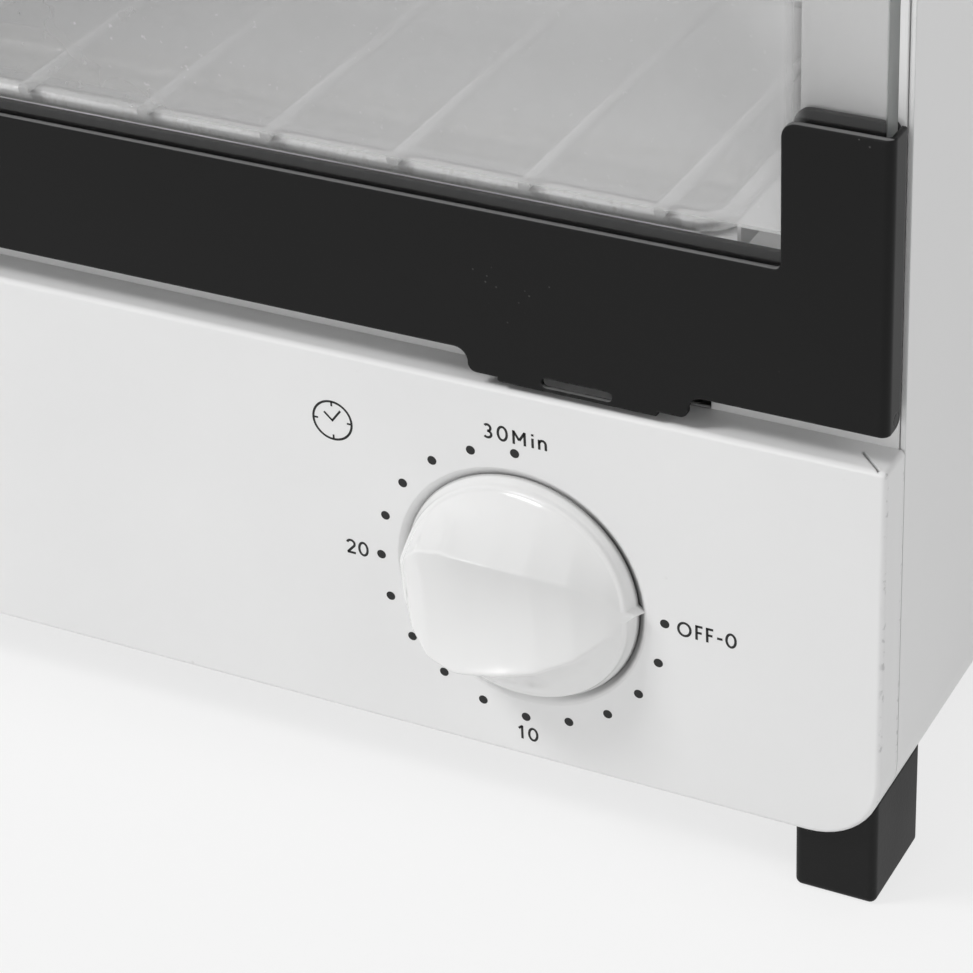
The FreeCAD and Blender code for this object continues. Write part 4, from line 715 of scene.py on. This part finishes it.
def make_knob():
    """A round knob with a pointed grip: rings from the centre to a rim with a nose, then down the side."""
    turns, rings = 360, 100
    even = np.linspace(0, 2 * np.pi, turns, endpoint=False)
    angle = even - NOSE_CROWDING * np.sin(even)
    nose = NOSE_R / np.maximum(np.abs(np.sin(angle)) * 1.5 + np.cos(angle), 0.2)
    nose = np.where(np.cos(angle) > 0.5, nose, 0.0)
    outline = np.maximum(RIM_R, nose)
    share = np.linspace(0, 1, rings) ** 0.80
    reach = share[:, None] * (outline[None, :] - RIM_ROLL)
    x = reach * np.cos(angle)
    z = reach * np.sin(angle)
    rows = [np.stack([x, z, knob_height(x, z)], axis=-1)]
    # The edge rolls over, the side widens a little towards the panel, and the back is hollow behind a rim.
    wider = BACK_R - RIM_R
    last = knob_height(x[-1], z[-1])
    for bend in (20, 45, 70, 90):
        turn = math.radians(bend)
        ring = outline - RIM_ROLL + RIM_ROLL * math.sin(turn)
        drop = last - RIM_ROLL * (1 - math.cos(turn))
        rows.append(np.stack([ring * np.cos(angle), ring * np.sin(angle), drop], axis=-1)[None])
    for out, level in KNOB_SIDE:
        ring = outline + wider * out
        flat = np.full(turns, level)
        rows.append(np.stack([ring * np.cos(angle), ring * np.sin(angle), flat], axis=-1)[None])
    inside = np.linspace(0.93, 0.0, 30)[:, None] * RIM_R
    ix = inside * np.cos(angle)
    iz = inside * np.sin(angle)
    rows.append(np.stack([ix, iz, np.maximum(knob_height(ix, iz) - 1.8, 0.2)], axis=-1))
    skin = np.concatenate(rows)
    cos, sin = math.cos(KNOB_TILT), math.sin(KNOB_TILT)
    px = skin[..., 0] * cos - skin[..., 1] * sin
    pz = skin[..., 0] * sin + skin[..., 1] * cos
    points = np.stack([px * MM + DIAL_X, PANEL_Y - skin[..., 2] * MM, pz * MM + DIAL_Z], axis=-1)
    piece = make_mesh("knob_skin", points, grid_faces(len(skin), turns, closed_columns=True),
                      KNOB_PLASTIC, "timer_knob")
    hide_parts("timer_knob")


# ---- floor and light ----

FLOOR_HALF = 6.0
FLOOR_TONE = 0.86
# What the eye sees of the floor: the glow's strength and its share.
FLOOR_GLOW = 0.95
FLOOR_GLOW_SHARE = 0.78
ROOM_LEVEL = 0.50
ROOM_SEEN = 1.0
AIM = (0, 0, 0.08)


def seen_by_eye(tree):
    """One for rays that show the background: the camera's own, and those that metal and glass send on."""
    path = tree.nodes.new("ShaderNodeLightPath")
    seen = maths(tree, "MAXIMUM", path.outputs["Is Camera Ray"], path.outputs["Is Glossy Ray"])
    return maths(tree, "MAXIMUM", seen, path.outputs["Is Transmission Ray"])


def make_floor():
    """A plain pale floor that keeps the soft shadow; what the eye sees of it is lifted towards white."""
    made = bpy.data.materials.new("pale_floor")
    made.use_nodes = True
    tree = made.node_tree
    tree.nodes.clear()
    out = tree.nodes.new("ShaderNodeOutputMaterial")
    matt = add(tree, "ShaderNodeBsdfDiffuse")
    matt.inputs["Color"].default_value = (FLOOR_TONE, FLOOR_TONE, FLOOR_TONE, 1.0)
    lift = add(tree, "ShaderNodeEmission", Strength=FLOOR_GLOW)
    both = tree.nodes.new("ShaderNodeMixShader")
    tree.links.new(maths(tree, "MULTIPLY", seen_by_eye(tree), FLOOR_GLOW_SHARE), both.inputs[0])
    tree.links.new(matt.outputs[0], both.inputs[1])
    tree.links.new(lift.outputs[0], both.inputs[2])
    tree.links.new(both.outputs[0], out.inputs["Surface"])
    mesh = bpy.data.meshes.new("pale_floor")
    corners = [(x * FLOOR_HALF, y * FLOOR_HALF, 0) for x, y in ((-1, -1), (1, -1), (1, 1), (-1, 1))]
    mesh.from_pydata(corners, [], [(0, 1, 2, 3)])
    mesh.materials.append(made)
    floor = bpy.data.objects.new("pale_floor", mesh)
    bpy.context.scene.collection.objects.link(floor)


def light_room():
    """A white room of even light: the eye sees white, the object gets a plainer level."""
    world = bpy.data.worlds.new("pale_room")
    bpy.context.scene.world = world
    world.use_nodes = True
    tree = world.node_tree
    tree.nodes.clear()
    out = tree.nodes.new("ShaderNodeOutputWorld")
    air = tree.nodes.new("ShaderNodeBackground")
    tree.links.new(spread(tree, seen_by_eye(tree), 0.0, 1.0, ROOM_LEVEL, ROOM_SEEN), air.inputs["Strength"])
    tree.links.new(air.outputs[0], out.inputs["Surface"])


def soft_box(name, place, wide, high, watts, shines=True):
    """A flat lamp that looks at the cabinet; one that doesn't shine gives no mirror image of itself."""
    lamp = bpy.data.lights.new(name, "AREA")
    lamp.shape = "RECTANGLE"
    lamp.size = wide
    lamp.size_y = high
    lamp.energy = watts
    made = bpy.data.objects.new(name, lamp)
    bpy.context.scene.collection.objects.link(made)
    made.visible_glossy = shines
    made.location = place
    made.rotation_mode = "QUATERNION"
    made.rotation_quaternion = (Vector(AIM) - Vector(place)).to_track_quat("-Z", "Y")


bpy.context.scene.view_settings.view_transform = "Standard"
place_camera()
make_floor()
light_room()
soft_box("key_box", (-1.3, -0.9, 1.7), 0.55, 0.55, 26.0, shines=False)
soft_box("front_box", (-0.55, -2.0, 0.42), 0.5, 0.35, 7.0)
soft_box("side_box", (2.0, -0.6, 1.2), 1.2, 1.2, 9.6, shines=False)
dress_frame()
print_dial()
make_knob()
